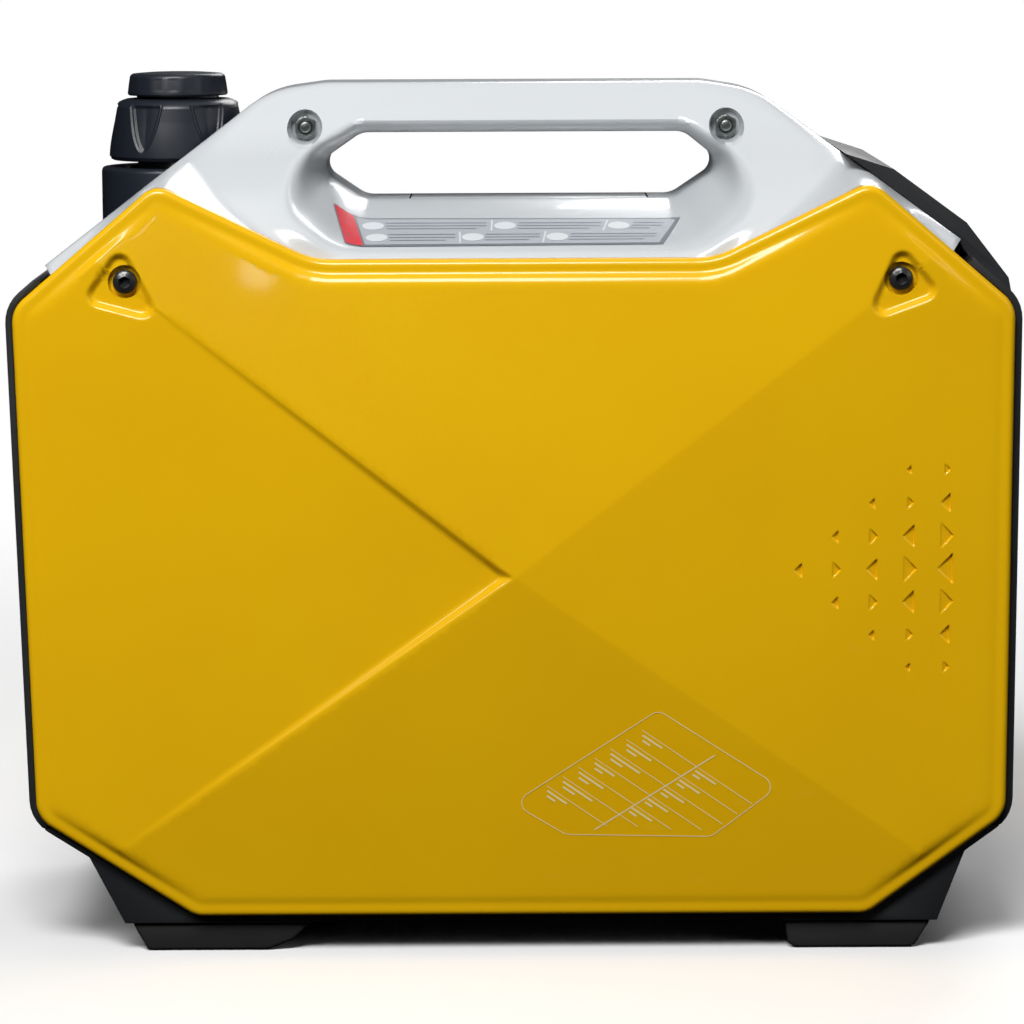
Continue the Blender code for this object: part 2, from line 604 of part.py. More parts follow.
# -------------------------------------------------------------- engine parts
def engine():
    cx, cz = crank_x, crank_z
    fins = []
    for i in range(5):
        z = 0.190 + i * 0.0094
        fins += [(0.036, z), (0.036, z + 0.0052), (0.046, z + 0.0052), (0.046, z + 0.0094)]
    fins = fins[:-2]
    outline = [(cx + x, z) for x, z in [(0.034, 0.080), (0.052, 0.098), (0.052, 0.172), (0.046, 0.190)]]
    outline += [(cx + 0.046 if x > 0.04 else cx + 0.036, z) for x, z in fins]
    mirrored = [(2 * cx - x, z) for x, z in outline]
    block_body = plate("engine_block", "Y", outline + mirrored[::-1], -0.078, 0.010, "aluminium")
    cut(block_body, rod("crank_bore", "Y", (cx, 0, cz), -0.2, 0.2, 0.0114, sides=28))
    cut(block_body, rod("oil_filler_hole", "X", (0, -0.045, 0.112), 0.0, 0.030, 0.0094, sides=24))
    head_low = 0.2332
    head = block("cylinder_head", (cx - 0.045, -0.076, head_low), (cx + 0.045, 0.008, 0.2600), "aluminium", 0.003)
    cut(head, rod("plug_thread", "Z", (cx, -0.058, 0), 0.2500, 0.27, 0.0064, sides=20))
    block("rocker_cover", (cx - 0.038, -0.043, 0.2604), (cx + 0.038, 0.006, 0.2860), "aluminium", 0.006)
    plug = rod("spark_plug", "Z", (cx, -0.058, 0), 0.2510, 0.2640, 0.0060, "ceramic", 20)
    cut(plug, rod("plug_hex", "Z", (cx, -0.058, 0), 0.2604, 0.2700, 0.0098, sides=6), "UNION")
    cut(plug, rod("plug_insulator", "Z", (cx, -0.058, 0), 0.2690, 0.2960, 0.0048, sides=16), "UNION")
    turned("plug_cap", "Z", (cx, -0.058, 0.2712),
           [(0, 0.0255), (0.0053, 0.0255), (0.0053, 0), (0.0105, 0), (0.0110, 0.0300), (0.0085, 0.0400),
            (0, 0.0420)], "rubber", 24)
    oil_cap = rod("oil_filler_cap", "X", (cx - 0.0524, -0.045, 0.112), -0.0110, 0.0, 0.0140, "grey plastic", 24)
    cut(oil_cap, rod("oil_cap_thread", "X", (cx - 0.0524, -0.045, 0.112), -0.002, 0.0140, 0.0089, sides=24), "UNION")
    for name, x in (("engine_mount_front", 0.020), ("engine_mount_rear", 0.078)):
        block(name, (x, -0.070, 0.0194), (x + 0.020, 0.002, 0.0796), "rubber", 0.003)


def intake_and_exhaust():
    cx = crank_x
    carb = block("carburettor", (cx - 0.082, -0.048, 0.2300), (cx - 0.0456, -0.012, 0.2580), "aluminium", 0.003)
    cut(carb, rod("carburettor_bowl", "Z", (cx - 0.064, -0.030, 0), 0.2080, 0.2320, 0.0150, sides=24), "UNION")
    block("air_filter_box", (-0.0760, -0.090, 0.170), (cx - 0.0824, 0.060, 0.290), "black", 0.006)
    muffler = block("muffler", (0.150, -0.088, 0.085), (0.236, 0.072, 0.212), "steel", 0.010)
    cut(muffler, rod("tail_pipe", "X", (0, -0.045, 0.118), 0.230, 0.2538, 0.0130, sides=24), "UNION")
    cut(muffler, block("muffler_inside", (0.1525, -0.0855, 0.0875), (0.2335, 0.0695, 0.2095), bevel=0.0085))
    cut(muffler, rod("tail_bore", "X", (0, -0.045, 0.118), 0.2200, 0.27, 0.0108, sides=24))
    bend = [(cx + 0.0454 + t, -0.034, 0.247) for t in (0.0, 0.040)]
    middle = Vector((cx + 0.0854, -0.034, 0.227))
    for k in range(1, 7):
        angle = math.pi / 2 * (1 - k / 6)
        bend.append((middle.x + 0.020 * math.cos(angle), middle.y, middle.z + 0.020 * math.sin(angle)))
    bend.append((middle.x + 0.020, middle.y, 0.2125))
    tube("exhaust_pipe", bend, 0.010, "steel")


def rotating_parts():
    centre = (crank_x, 0, crank_z)
    rod("crankshaft", "Y", centre, -0.082, 0.0870, 0.0110, "steel", 28)
    turned("stator", "Y", centre, [(0.0300, 0.0140), (0.0520, 0.0140), (0.0520, 0.0440), (0.0300, 0.0440)],
           "copper", 36)
    turned("flywheel_rotor", "Y", centre,
           [(0.0114, 0.0480), (0.0640, 0.0480), (0.0640, 0.0130), (0.0560, 0.0130), (0.0560, 0.0445),
            (0.0114, 0.0445)], "dark steel", 40)
    fan = turned("cooling_fan", "Y", centre,
                 [(0.0114, 0.0484), (0.0680, 0.0484), (0.0680, 0.0510), (0.0250, 0.0510), (0.0250, 0.0700),
                  (0.0114, 0.0700)], "black", 36)
    for k in range(10):
        angle = 2 * math.pi * k / 10
        blade = block("fan_blade_{}".format(k), (-0.0012, 0.0500, 0.030), (0.0012, 0.0690, 0.0675),
                      origin=(0, 0, 0))
        blade.location = centre
        blade.rotation_euler = (0, angle, 0)
        cut(fan, blade, "UNION")


def starter():
    centre = (crank_x, 0, crank_z)
    housing = turned("starter_housing", "Y", centre,
                     [(starter_radius, 0.0800), (starter_radius, 0.1290), (0.0720, 0.1330), (0, 0.1330),
                      (0, 0.1305), (0.0705, 0.1305), (0.0730, 0.1280), (0.0730, 0.0800)], "black", 48)
    cut(housing, rod("rope_guide", "Y", (crank_x, 0, grip_z), 0.10, 0.16, 0.0050, sides=20))
    for k in range(12):
        angle = 2 * math.pi * k / 12
        slot = block("starter_vent_{}".format(k), (-0.0035, 0.12, 0.022), (0.0035, 0.15, 0.034), origin=(0, 0, 0))
        slot.location = (crank_x, 0, crank_z - 0.012)
        slot.rotation_euler = (0, angle, 0)
        cut(housing, slot)
    turned("starter_reel", "Y", centre,
           [(0.0120, 0.0900), (0.0480, 0.0900), (0.0480, 0.0925), (0.0340, 0.0935), (0.0340, 0.1015),
            (0.0480, 0.1025), (0.0480, 0.1050), (0.0120, 0.1050)], "grey plastic", 36)
    rod("starter_rope", "Y", (crank_x, 0, grip_z), 0.1060, 0.1345, 0.0020, "rope", 12)
    block("starter_grip", (crank_x - 0.036, 0.1349, grip_z - 0.0105), (crank_x + 0.036, 0.1449, grip_z + 0.0105),
          "black", 0.004)


def inverter():
    low_x, high_x, low_z, high_z = -0.212, -0.092, 0.060, 0.150
    fins = 9
    pitch = (high_x - low_x) / fins
    outline = [(low_x, low_z), (high_x, low_z)]
    for i in range(fins):
        x = high_x - i * pitch
        outline += [(x, high_z), (x - pitch * 0.45, high_z), (x - pitch * 0.45, high_z - 0.014)]
        if i < fins - 1:
            outline.append((x - pitch, high_z - 0.014))
    outline += [(low_x, high_z - 0.014)]
    plate("inverter_unit", "Y", outline, -0.075, 0.075, "aluminium")


side_panels()
panel_bolts()
handle()
front_cover()
rear_cover()
tray_and_feet()
fuel_system()
control_panel()
engine()
intake_and_exhaust()
rotating_parts()
starter()
inverter()
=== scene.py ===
import json
import math

import bmesh
import bpy
import numpy as np
from mathutils import Matrix, Vector
from mathutils.geometry import delaunay_2d_cdt

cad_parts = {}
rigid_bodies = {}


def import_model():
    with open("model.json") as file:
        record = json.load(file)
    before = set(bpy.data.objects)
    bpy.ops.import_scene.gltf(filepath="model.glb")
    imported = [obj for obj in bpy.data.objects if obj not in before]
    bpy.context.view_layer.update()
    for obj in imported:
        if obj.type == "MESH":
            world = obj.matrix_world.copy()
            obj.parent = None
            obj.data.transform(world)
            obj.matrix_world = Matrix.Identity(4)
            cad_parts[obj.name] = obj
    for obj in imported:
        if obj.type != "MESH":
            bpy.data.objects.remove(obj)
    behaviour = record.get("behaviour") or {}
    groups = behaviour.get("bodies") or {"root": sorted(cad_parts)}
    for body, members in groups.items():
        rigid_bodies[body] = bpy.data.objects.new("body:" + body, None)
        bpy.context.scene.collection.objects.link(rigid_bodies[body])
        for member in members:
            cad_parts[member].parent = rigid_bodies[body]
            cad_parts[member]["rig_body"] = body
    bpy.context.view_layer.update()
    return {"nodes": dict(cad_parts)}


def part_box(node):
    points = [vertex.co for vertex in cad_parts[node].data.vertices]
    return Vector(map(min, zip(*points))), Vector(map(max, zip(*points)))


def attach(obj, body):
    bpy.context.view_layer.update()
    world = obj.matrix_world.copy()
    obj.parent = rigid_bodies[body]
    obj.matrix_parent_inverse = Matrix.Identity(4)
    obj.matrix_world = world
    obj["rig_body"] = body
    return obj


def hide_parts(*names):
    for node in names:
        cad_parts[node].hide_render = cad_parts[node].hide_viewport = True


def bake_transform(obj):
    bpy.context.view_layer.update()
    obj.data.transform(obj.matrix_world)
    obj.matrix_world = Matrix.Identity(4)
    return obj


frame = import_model()
print("frame loaded:", len(frame["nodes"]), "nodes")


def newPiece(name, verts, faces, material, body, replaces=(), sharpAngle=35):
    mesh = bpy.data.meshes.new(name)
    mesh.from_pydata([tuple(v) for v in verts], [], faces)
    return finishPiece(name, mesh, material, body, replaces, sharpAngle)


def finishPiece(name, mesh, material, body, replaces=(), sharpAngle=35):
    bm = bmesh.new()
    bm.from_mesh(mesh)
    bmesh.ops.remove_doubles(bm, verts=bm.verts, dist=0.000004)
    bmesh.ops.recalc_face_normals(bm, faces=bm.faces)
    limit = math.radians(sharpAngle)
    for edge in bm.edges:
        edge.smooth = len(edge.link_faces) != 2 or edge.calc_face_angle(0) < limit
    for face in bm.faces:
        face.smooth = True
    bm.to_mesh(mesh)
    bm.free()
    piece = bpy.data.objects.new(name, mesh)
    bpy.context.scene.collection.objects.link(piece)
    mesh.materials.clear()
    mesh.materials.append(material)
    if body:
        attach(piece, body)
    if replaces:
        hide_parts(*replaces)
    return piece


def roundedOutline(corners, steps=8, longest=None):
    # each corner is (x, z, radius); straight runs are split so no edge is over longest
    points = []
    for i, (x, z, radius) in enumerate(corners):
        here = Vector((x, z))
        before = (Vector(corners[i - 1][:2]) - here).normalized()
        after = (Vector(corners[(i + 1) % len(corners)][:2]) - here).normalized()
        half = before.angle(after) / 2
        middle = here + (before + after).normalized() * radius / math.sin(half)
        start = here + before * radius / math.tan(half) - middle
        end = here + after * radius / math.tan(half) - middle
        sweep = start.angle_signed(end)
        for k in range(steps + 1):
            points.append(middle + Matrix.Rotation(-sweep * k / steps, 2) @ start)
    if not longest:
        return points
    split = []
    for a, b in zip(points, points[1:] + points[:1]):
        cuts = max(1, math.ceil((b - a).length / longest))
        split += [a.lerp(b, k / cuts) for k in range(cuts)]
    return split


def grownCorners(corners, amount):
    area = sum(a[0] * b[1] - b[0] * a[1] for a, b in zip(corners, corners[1:] + corners[:1]))
    side = 1 if area < 0 else -1
    moved = []
    for i, (x, z, radius) in enumerate(corners):
        here = Vector((x, z))
        arrive = (here - Vector(corners[i - 1][:2])).normalized()
        leave = (Vector(corners[(i + 1) % len(corners)][:2]) - here).normalized()
        outA = Vector((-arrive.y, arrive.x)) * side
        outB = Vector((-leave.y, leave.x)) * side
        bisector = (outA + outB).normalized()
        spot = here + bisector * amount / bisector.dot(outA)
        change = amount if arrive.cross(leave) * side < 0 else -amount
        moved.append((spot.x, spot.y, max(radius + change, 0.0002)))
    return moved


def outwardNormals(points):
    area = sum(a.x * b.y - b.x * a.y for a, b in zip(points, points[1:] + points[:1]))
    side = 1 if area < 0 else -1
    normals = []
    for i, p in enumerate(points):
        along = (points[(i + 1) % len(points)] - points[i - 1]).normalized()
        normals.append(Vector((-along.y, along.x)) * side)
    return normals


def circle(x, z, radius, count):
    return [(x + radius * math.cos(k * math.tau / count), z + radius * math.sin(k * math.tau / count))
            for k in range(count)]


def smoothStep(x):
    x = min(max(x, 0.0), 1.0)
    return x * x * (3 - 2 * x)


def ringFaces(rings, count, closed=True, offset=0):
    faces = []
    for r in range(rings - 1):
        for i in range(count if closed else count - 1):
            j = (i + 1) % count
            a, b = offset + r * count, offset + (r + 1) * count
            faces.append((a + i, a + j, b + j, b + i))
    return faces


def latheAlong(axis, centre, profile, steps=64, wobble=None):
    # profile of (radius, height); wobble changes a radius with angle and height
    verts = []
    for r, h in profile:
        for k in range(steps):
            angle = 2 * math.pi * k / steps
            radius = wobble(r, angle, h) if wobble else r
            u, v = radius * math.cos(angle), radius * math.sin(angle)
            spot = {"Z": (u, v, h), "Y": (u, h, v), "X": (h, u, v)}[axis]
            verts.append(Vector(spot) + Vector(centre))
    faces = ringFaces(len(profile), steps)
    for first, ring in ((0, 0), (1, len(profile) - 1)):
        if profile[ring][0] > 0.00001:
            start = ring * steps
            faces.append(tuple(range(start, start + steps)))
    return verts, faces


def nodeGroup(name, inputs, outputs):
    group = bpy.data.node_groups.new(name, "ShaderNodeTree")
    for label, value in inputs:
        socket = group.interface.new_socket(label, in_out="INPUT", socket_type="NodeSocketFloat")
        socket.default_value = value
    for label in outputs:
        group.interface.new_socket(label, in_out="OUTPUT", socket_type="NodeSocketFloat")
    return group, group.nodes.new("NodeGroupInput"), group.nodes.new("NodeGroupOutput")


def noiseNode(tree, coords, scale, detail=3.0, rough=0.5):
    noise = tree.nodes.new("ShaderNodeTexNoise")
    noise.inputs["Detail"].default_value = detail
    noise.inputs["Roughness"].default_value = rough
    tree.links.new(coords, noise.inputs["Vector"])
    if isinstance(scale, (int, float)):
        noise.inputs["Scale"].default_value = scale
    else:
        tree.links.new(scale, noise.inputs["Scale"])
    return noise.outputs["Fac"]


def mathNode(tree, kind, a, b=0.0, clamp=False):
    node = tree.nodes.new("ShaderNodeMath")
    node.operation = kind
    node.use_clamp = clamp
    for socket, value in zip(node.inputs, (a, b)):
        if isinstance(value, (int, float)):
            socket.default_value = value
        else:
            tree.links.new(value, socket)
    return node.outputs[0]


def rampNode(tree, value, low, high):
    node = tree.nodes.new("ShaderNodeMapRange")
    node.inputs["From Min"].default_value = low
    node.inputs["From Max"].default_value = high
    tree.links.new(value, node.inputs["Value"])
    return node.outputs[0]


def mouldGrainGroup():
    # fine spark-eroded grain of moulded plastic, with slow waviness under it
    inputs = [("Grain Size", 1400.0), ("Waviness", 0.3)]
    group, source, sink = nodeGroup("mouldGrain", inputs, ["Height", "Tone"])
    coords = group.nodes.new("ShaderNodeTexCoord").outputs["Object"]
    fine = noiseNode(group, coords, source.outputs["Grain Size"], 4.0, 0.6)
    slow = noiseNode(group, coords, 22.0, 2.0)
    swell = mathNode(group, "MULTIPLY", slow, source.outputs["Waviness"])
    group.links.new(mathNode(group, "ADD", fine, swell), sink.inputs["Height"])
    group.links.new(noiseNode(group, coords, 9.0, 5.0, 0.55), sink.inputs["Tone"])
    return group


def handlingGroup():
    # faint smears and hairline scratches that a handled shell picks up
    inputs = [("Smears", 1.0), ("Scratches", 1.0)]
    group, source, sink = nodeGroup("handlingMarks", inputs, ["Roughness Add", "Scratch Mask"])
    coords = group.nodes.new("ShaderNodeTexCoord").outputs["Object"]
    smear = rampNode(group, noiseNode(group, coords, 14.0, 6.0, 0.62), 0.48, 0.72)
    mapping = group.nodes.new("ShaderNodeMapping")
    mapping.inputs["Rotation"].default_value = (0.4, 0.7, 0.3)
    mapping.inputs["Scale"].default_value = (1.0, 34.0, 3.0)
    group.links.new(coords, mapping.inputs["Vector"])
    streaks = rampNode(group, noiseNode(group, mapping.outputs["Vector"], 26.0, 2.0), 0.70, 0.74)
    patches = rampNode(group, noiseNode(group, coords, 5.0, 2.0), 0.52, 0.62)
    scratch = mathNode(group, "MULTIPLY", streaks, patches)
    mask = mathNode(group, "MULTIPLY", scratch, source.outputs["Scratches"])
    group.links.new(mathNode(group, "MULTIPLY", smear, source.outputs["Smears"]), sink.inputs["Roughness Add"])
    group.links.new(mask, sink.inputs["Scratch Mask"])
    return group


def brushGroup():
    # drawn or brushed metal: long streaks along one axis
    group, source, sink = nodeGroup("brushedLines", [("Streak Scale", 180.0)], ["Height", "Tone"])
    coords = group.nodes.new("ShaderNodeTexCoord").outputs["Object"]
    mapping = group.nodes.new("ShaderNodeMapping")
    mapping.inputs["Scale"].default_value = (1.0, 1.0, 0.06)
    group.links.new(coords, mapping.inputs["Vector"])
    lines = noiseNode(group, mapping.outputs["Vector"], source.outputs["Streak Scale"], 4.0, 0.6)
    group.links.new(lines, sink.inputs["Height"])
    group.links.new(noiseNode(group, coords, 30.0, 4.0), sink.inputs["Tone"])
    return group


def castGroup():
    # sand-cast or die-cast skin
    group, source, sink = nodeGroup("castSkin", [("Pit Size", 520.0)], ["Height", "Tone"])
    coords = group.nodes.new("ShaderNodeTexCoord").outputs["Object"]
    cells = group.nodes.new("ShaderNodeTexVoronoi")
    group.links.new(coords, cells.inputs["Vector"])
    group.links.new(source.outputs["Pit Size"], cells.inputs["Scale"])
    rough = noiseNode(group, coords, 260.0, 4.0, 0.6)
    group.links.new(mathNode(group, "ADD", cells.outputs["Distance"], rough), sink.inputs["Height"])
    group.links.new(noiseNode(group, coords, 18.0, 5.0), sink.inputs["Tone"])
    return group


groups = {"mould": mouldGrainGroup(), "marks": handlingGroup(), "brush": brushGroup(), "cast": castGroup()}
print("node groups built")


def makeMaterial(name, look):
    material = bpy.data.materials.new(name)
    material.use_nodes = True
    tree = material.node_tree
    shader = tree.nodes["Principled BSDF"]
    shader.inputs["Metallic"].default_value = look.get("metallic", 0.0)
    shader.inputs["IOR"].default_value = look.get("ior", 1.5)
    shader.inputs["Coat Weight"].default_value = look.get("coat", 0.0)
    shader.inputs["Coat Roughness"].default_value = look.get("coatRoughness", 0.05)
    skin = tree.nodes.new("ShaderNodeGroup")
    skin.node_tree = groups[look.get("skin", "mould")]
    for label, value in look.get("skinValues", {}).items():
        skin.inputs[label].default_value = value
    marks = tree.nodes.new("ShaderNodeGroup")
    marks.node_tree = groups["marks"]
    marks.inputs["Smears"].default_value = look.get("smears", 0.05)
    marks.inputs["Scratches"].default_value = look.get("scratches", 0.15)
    colours = tree.nodes.new("ShaderNodeMix")
    colours.data_type = "RGBA"
    dark, light = look["colour"], look.get("second", look["colour"])
    colours.inputs["A"].default_value = (*dark, 1)
    colours.inputs["B"].default_value = (*light, 1)
    tree.links.new(rampNode(tree, skin.outputs["Tone"], 0.35, 0.65), colours.inputs["Factor"])
    worn = tree.nodes.new("ShaderNodeMix")
    worn.data_type = "RGBA"
    worn.inputs["B"].default_value = (*look.get("worn", light), 1)
    tree.links.new(colours.outputs["Result"], worn.inputs["A"])
    tree.links.new(marks.outputs["Scratch Mask"], worn.inputs["Factor"])
    tree.links.new(worn.outputs["Result"], shader.inputs["Base Color"])
    spread = mathNode(tree, "MULTIPLY", skin.outputs["Tone"], look.get("roughSpread", 0.08))
    base = mathNode(tree, "ADD", spread, look["roughness"])
    tree.links.new(mathNode(tree, "ADD", base, marks.outputs["Roughness Add"], True), shader.inputs["Roughness"])
    bump = tree.nodes.new("ShaderNodeBump")
    bump.inputs["Strength"].default_value = look.get("bump", 0.1)
    bump.inputs["Distance"].default_value = look.get("depth", 0.0002)
    tree.links.new(skin.outputs["Height"], bump.inputs["Height"])
    tree.links.new(bump.outputs["Normal"], shader.inputs["Normal"])
    return material


looks = {
    "yellowGloss": dict(colour=(0.80, 0.455, 0.004), second=(0.78, 0.435, 0.004), roughness=0.17, smears=0.03,
                        ior=1.33, coat=0.25, coatRoughness=0.04, bump=0.02, skinValues={"Grain Size": 900.0, "Waviness": 1.5},
                        worn=(0.85, 0.55, 0.10), scratches=0.05),
    "whiteGloss": dict(colour=(0.575, 0.600, 0.620), second=(0.560, 0.585, 0.605), roughness=0.20, smears=0.03,
                       coat=0.3, bump=0.02, skinValues={"Grain Size": 900.0, "Waviness": 1.0},
                       worn=(0.6, 0.62, 0.64), scratches=0.05),
    "blackMatte": dict(colour=(0.010, 0.011, 0.013), second=(0.014, 0.015, 0.017), roughness=0.46, bump=0.35,
                       depth=0.00025, worn=(0.12, 0.12, 0.13), skinValues={"Grain Size": 1500.0}),
    "capSatin": dict(colour=(0.008, 0.010, 0.016), second=(0.011, 0.014, 0.021), roughness=0.34, bump=0.22,
                     depth=0.0002, worn=(0.13, 0.14, 0.16), skinValues={"Grain Size": 1900.0}),
    "footRubber": dict(colour=(0.007, 0.007, 0.007), second=(0.012, 0.012, 0.012), roughness=0.68, bump=0.4,
                       depth=0.0003, smears=0.12, worn=(0.06, 0.06, 0.06)),
    "panelGrey": dict(colour=(0.060, 0.064, 0.070), second=(0.070, 0.074, 0.080), roughness=0.42, bump=0.3,
                      depth=0.0002, worn=(0.2, 0.2, 0.2)),
    "lidGrey": dict(colour=(0.10, 0.105, 0.112), second=(0.115, 0.12, 0.128), roughness=0.36, bump=0.25),
    "boltBlack": dict(colour=(0.012, 0.012, 0.013), second=(0.022, 0.022, 0.024), roughness=0.26, bump=0.1,
                      coat=0.3),
    "zincDark": dict(colour=(0.20, 0.22, 0.21), second=(0.30, 0.32, 0.31), roughness=0.28, metallic=1.0,
                     skin="brush", bump=0.15, worn=(0.4, 0.4, 0.4)),
    "zincBright": dict(colour=(0.50, 0.51, 0.52), second=(0.62, 0.63, 0.63), roughness=0.25, metallic=1.0,
                       skin="brush", bump=0.12, worn=(0.8, 0.8, 0.8)),
    "mufflerSteel": dict(colour=(0.30, 0.285, 0.27), second=(0.42, 0.39, 0.35), roughness=0.42, metallic=1.0,
                         skin="brush", bump=0.3, smears=0.2, worn=(0.22, 0.12, 0.06), scratches=0.6),
    "castAlloy": dict(colour=(0.50, 0.51, 0.52), second=(0.60, 0.61, 0.62), roughness=0.44, metallic=1.0,
                      skin="cast", bump=0.4, depth=0.0004, smears=0.12, worn=(0.3, 0.29, 0.28)),
    "copperWire": dict(colour=(0.42, 0.17, 0.07), second=(0.60, 0.28, 0.12), roughness=0.32, metallic=1.0,
                       skin="brush", bump=0.6, depth=0.0005, skinValues={"Streak Scale": 420.0}),
    "plugCeramic": dict(colour=(0.82, 0.81, 0.77), second=(0.86, 0.85, 0.82), roughness=0.14, coat=0.4, bump=0.02),
    "redButton": dict(colour=(0.52, 0.018, 0.014), second=(0.58, 0.026, 0.020), roughness=0.28, bump=0.1),
    "ropeNylon": dict(colour=(0.62, 0.61, 0.56), second=(0.42, 0.42, 0.40), roughness=0.75, skin="brush",
                      bump=0.8, depth=0.0006, skinValues={"Streak Scale": 900.0}),
    "lampGreen": dict(colour=(0.02, 0.30, 0.06), second=(0.03, 0.36, 0.08), roughness=0.12, coat=0.6, bump=0.02),
    "lampAmber": dict(colour=(0.55, 0.20, 0.01), second=(0.60, 0.24, 0.02), roughness=0.12, coat=0.6, bump=0.02),
    "stickerGrey": dict(colour=(0.40, 0.43, 0.46), second=(0.44, 0.47, 0.50), roughness=0.32, bump=0.03),
    "stickerEdge": dict(colour=(0.16, 0.18, 0.21), second=(0.19, 0.21, 0.24), roughness=0.3, bump=0.02),
    "stickerRed": dict(colour=(0.66, 0.035, 0.05), second=(0.70, 0.045, 0.06), roughness=0.3, bump=0.02),
    "stickerPale": dict(colour=(0.66, 0.69, 0.72), second=(0.70, 0.73, 0.75), roughness=0.35, bump=0.02),
    "printPale": dict(colour=(0.80, 0.66, 0.30), second=(0.84, 0.70, 0.36), roughness=0.35, bump=0.02),
    "printWhite": dict(colour=(0.72, 0.74, 0.75), second=(0.76, 0.78, 0.79), roughness=0.4, bump=0.02),
}
materials = {name: makeMaterial(name, look) for name, look in looks.items()}
print("materials built:", len(materials))


# filled sheets: a flat outline is triangulated, then each point is lifted by its own height
def insidePolygon(p, loop):
    x, z = p
    hit = False
    for a, b in zip(loop, loop[1:] + loop[:1]):
        if (a[1] > z) != (b[1] > z) and x < (b[0] - a[0]) * (z - a[1]) / (b[1] - a[1]) + a[0]:
            hit = not hit
    return hit


def loopDistance(points, loop, closed=True):
    # shortest distance from each point (n, 2) to a polyline
    ends = np.array([tuple(p) for p in loop])
    starts, stops = (ends, np.roll(ends, -1, axis=0)) if closed else (ends[:-1], ends[1:])
    best = np.full(len(points), 1e9)
    for a, b in zip(starts, stops):
        run = b - a
        t = np.clip(((points - a) @ run) / max(run @ run, 1e-18), 0, 1)
        gap = points - a - t[:, None] * run
        best = np.minimum(best, np.hypot(gap[:, 0], gap[:, 1]))
    return best


def insideMask(points, loop):
    ends = np.array([tuple(p) for p in loop])
    hit = np.zeros(len(points), bool)
    for a, b in zip(ends, np.roll(ends, -1, axis=0)):
        crosses = (a[1] > points[:, 1]) != (b[1] > points[:, 1])
        with np.errstate(divide="ignore", invalid="ignore"):
            at = (b[0] - a[0]) * (points[:, 1] - a[1]) / (b[1] - a[1]) + a[0]
        hit ^= crosses & (points[:, 0] < at)
    return hit


def filledSheet(outer, holes=(), rings=(), lines=(), spacing=0.003, dense=()):
    # rings and lines become mesh edges; dense is (x, z, reach, spacing) for finer patches
    points, edges = [], []
    for loop in [outer, *holes, *rings]:
        start = len(points)
        points += [tuple(p) for p in loop]
        edges += [(start + i, start + (i + 1) % len(loop)) for i in range(len(loop))]
    for line in lines:
        start = len(points)
        points += [tuple(p) for p in line]
        edges += [(start + i, start + i + 1) for i in range(len(line) - 1)]
    low, high = np.min([tuple(p) for p in outer], axis=0), np.max([tuple(p) for p in outer], axis=0)
    fill = []
    for step, box in [(spacing, (*low, *high))] + [(s, (x - r, z - r, x + r, z + r)) for x, z, r, s in dense]:
        columns = np.arange(box[0], box[2], step)
        rows = np.arange(box[1], box[3], step * 0.87)
        grid = np.array([(x + (step / 2 if j % 2 else 0), z) for j, z in enumerate(rows) for x in columns])
        if len(grid):
            fill.append((step, grid))
    guides = [(loop, True) for loop in [outer, *holes, *rings]] + [(line, False) for line in lines]
    kept = []
    for step, grid in fill:
        keep = insideMask(grid, outer)
        for hole in holes:
            keep &= ~insideMask(grid, hole)
        grid = grid[keep]
        for loop, closed in guides:
            grid = grid[loopDistance(grid, loop, closed) > step * 0.45]
        for x, z, reach, fine in dense:
            if step > fine:
                grid = grid[(abs(grid[:, 0] - x) > reach) | (abs(grid[:, 1] - z) > reach)]
        kept += [tuple(p) for p in grid]
    result = delaunay_2d_cdt([Vector(p) for p in points + kept], edges, [list(range(len(outer)))], 1, 1e-7)
    spots, faces = [tuple(p) for p in result[0]], [list(f) for f in result[2]]
    if holes:
        middles = np.array([np.mean([spots[i] for i in f], axis=0) for f in faces])
        gone = np.zeros(len(faces), bool)
        for hole in holes:
            gone |= insideMask(middles, hole)
        faces = [f for f, out in zip(faces, gone) if not out]
    return spots, faces


# side panels: four facets rising to a point, a raised rim, bolt pockets and small vents
sidePanel = {
    "plane": 0.130, "peak": (0.0, 0.195), "rise": 0.015, "rimRound": 0.0034, "rimWidth": 0.0058, "skirt": 0.022,
    "upReach": 0.190, "downReach": 0.176, "sideReach": 0.250,
    "creaseWall": 0.0052, "creaseDepth": 0.0034, "creaseFade": 0.200,
    "pocketDepth": 0.0032, "pocketWall": 0.0042, "boreRadius": 0.0085, "boreDepth": 0.0065,
    "corners": [(-0.178, 0.391, 0.012), (-0.100, 0.353, 0.040), (0.100, 0.353, 0.040), (0.178, 0.391, 0.012),
                (0.250, 0.329, 0.016), (0.248, 0.070, 0.016), (0.178, 0.019, 0.014), (-0.163, 0.019, 0.014),
                (-0.243, 0.070, 0.016), (-0.2505, 0.329, 0.016)],
    "pockets": [[(-0.1950, 0.3620, 0.006), (-0.2160, 0.3325, 0.006), (-0.1735, 0.3215, 0.006)],
                [(0.1915, 0.3615, 0.006), (0.2135, 0.3345, 0.006), (0.1730, 0.3200, 0.006)]],
    "bolts": [(-0.1935, 0.3425), (0.1925, 0.3425)],
    "ventColumns": (0.1415, 0.0185), "ventRows": (0.1970, 0.0167), "ventDepth": 0.0017, "ventWall": 0.0006,
    "ventHeights": {0: (9.0, 10.0, 12.5, 15.0, 17.0), 1: (8.0, 10.0, 13.0, 14.5), 2: (7.0, 8.0, 11.0), 3: (6.0, 7.5)},
}


crank = (0.060, 0.135)
doorLow, doorHigh = (-0.122, 0.120), (-0.022, 0.312)


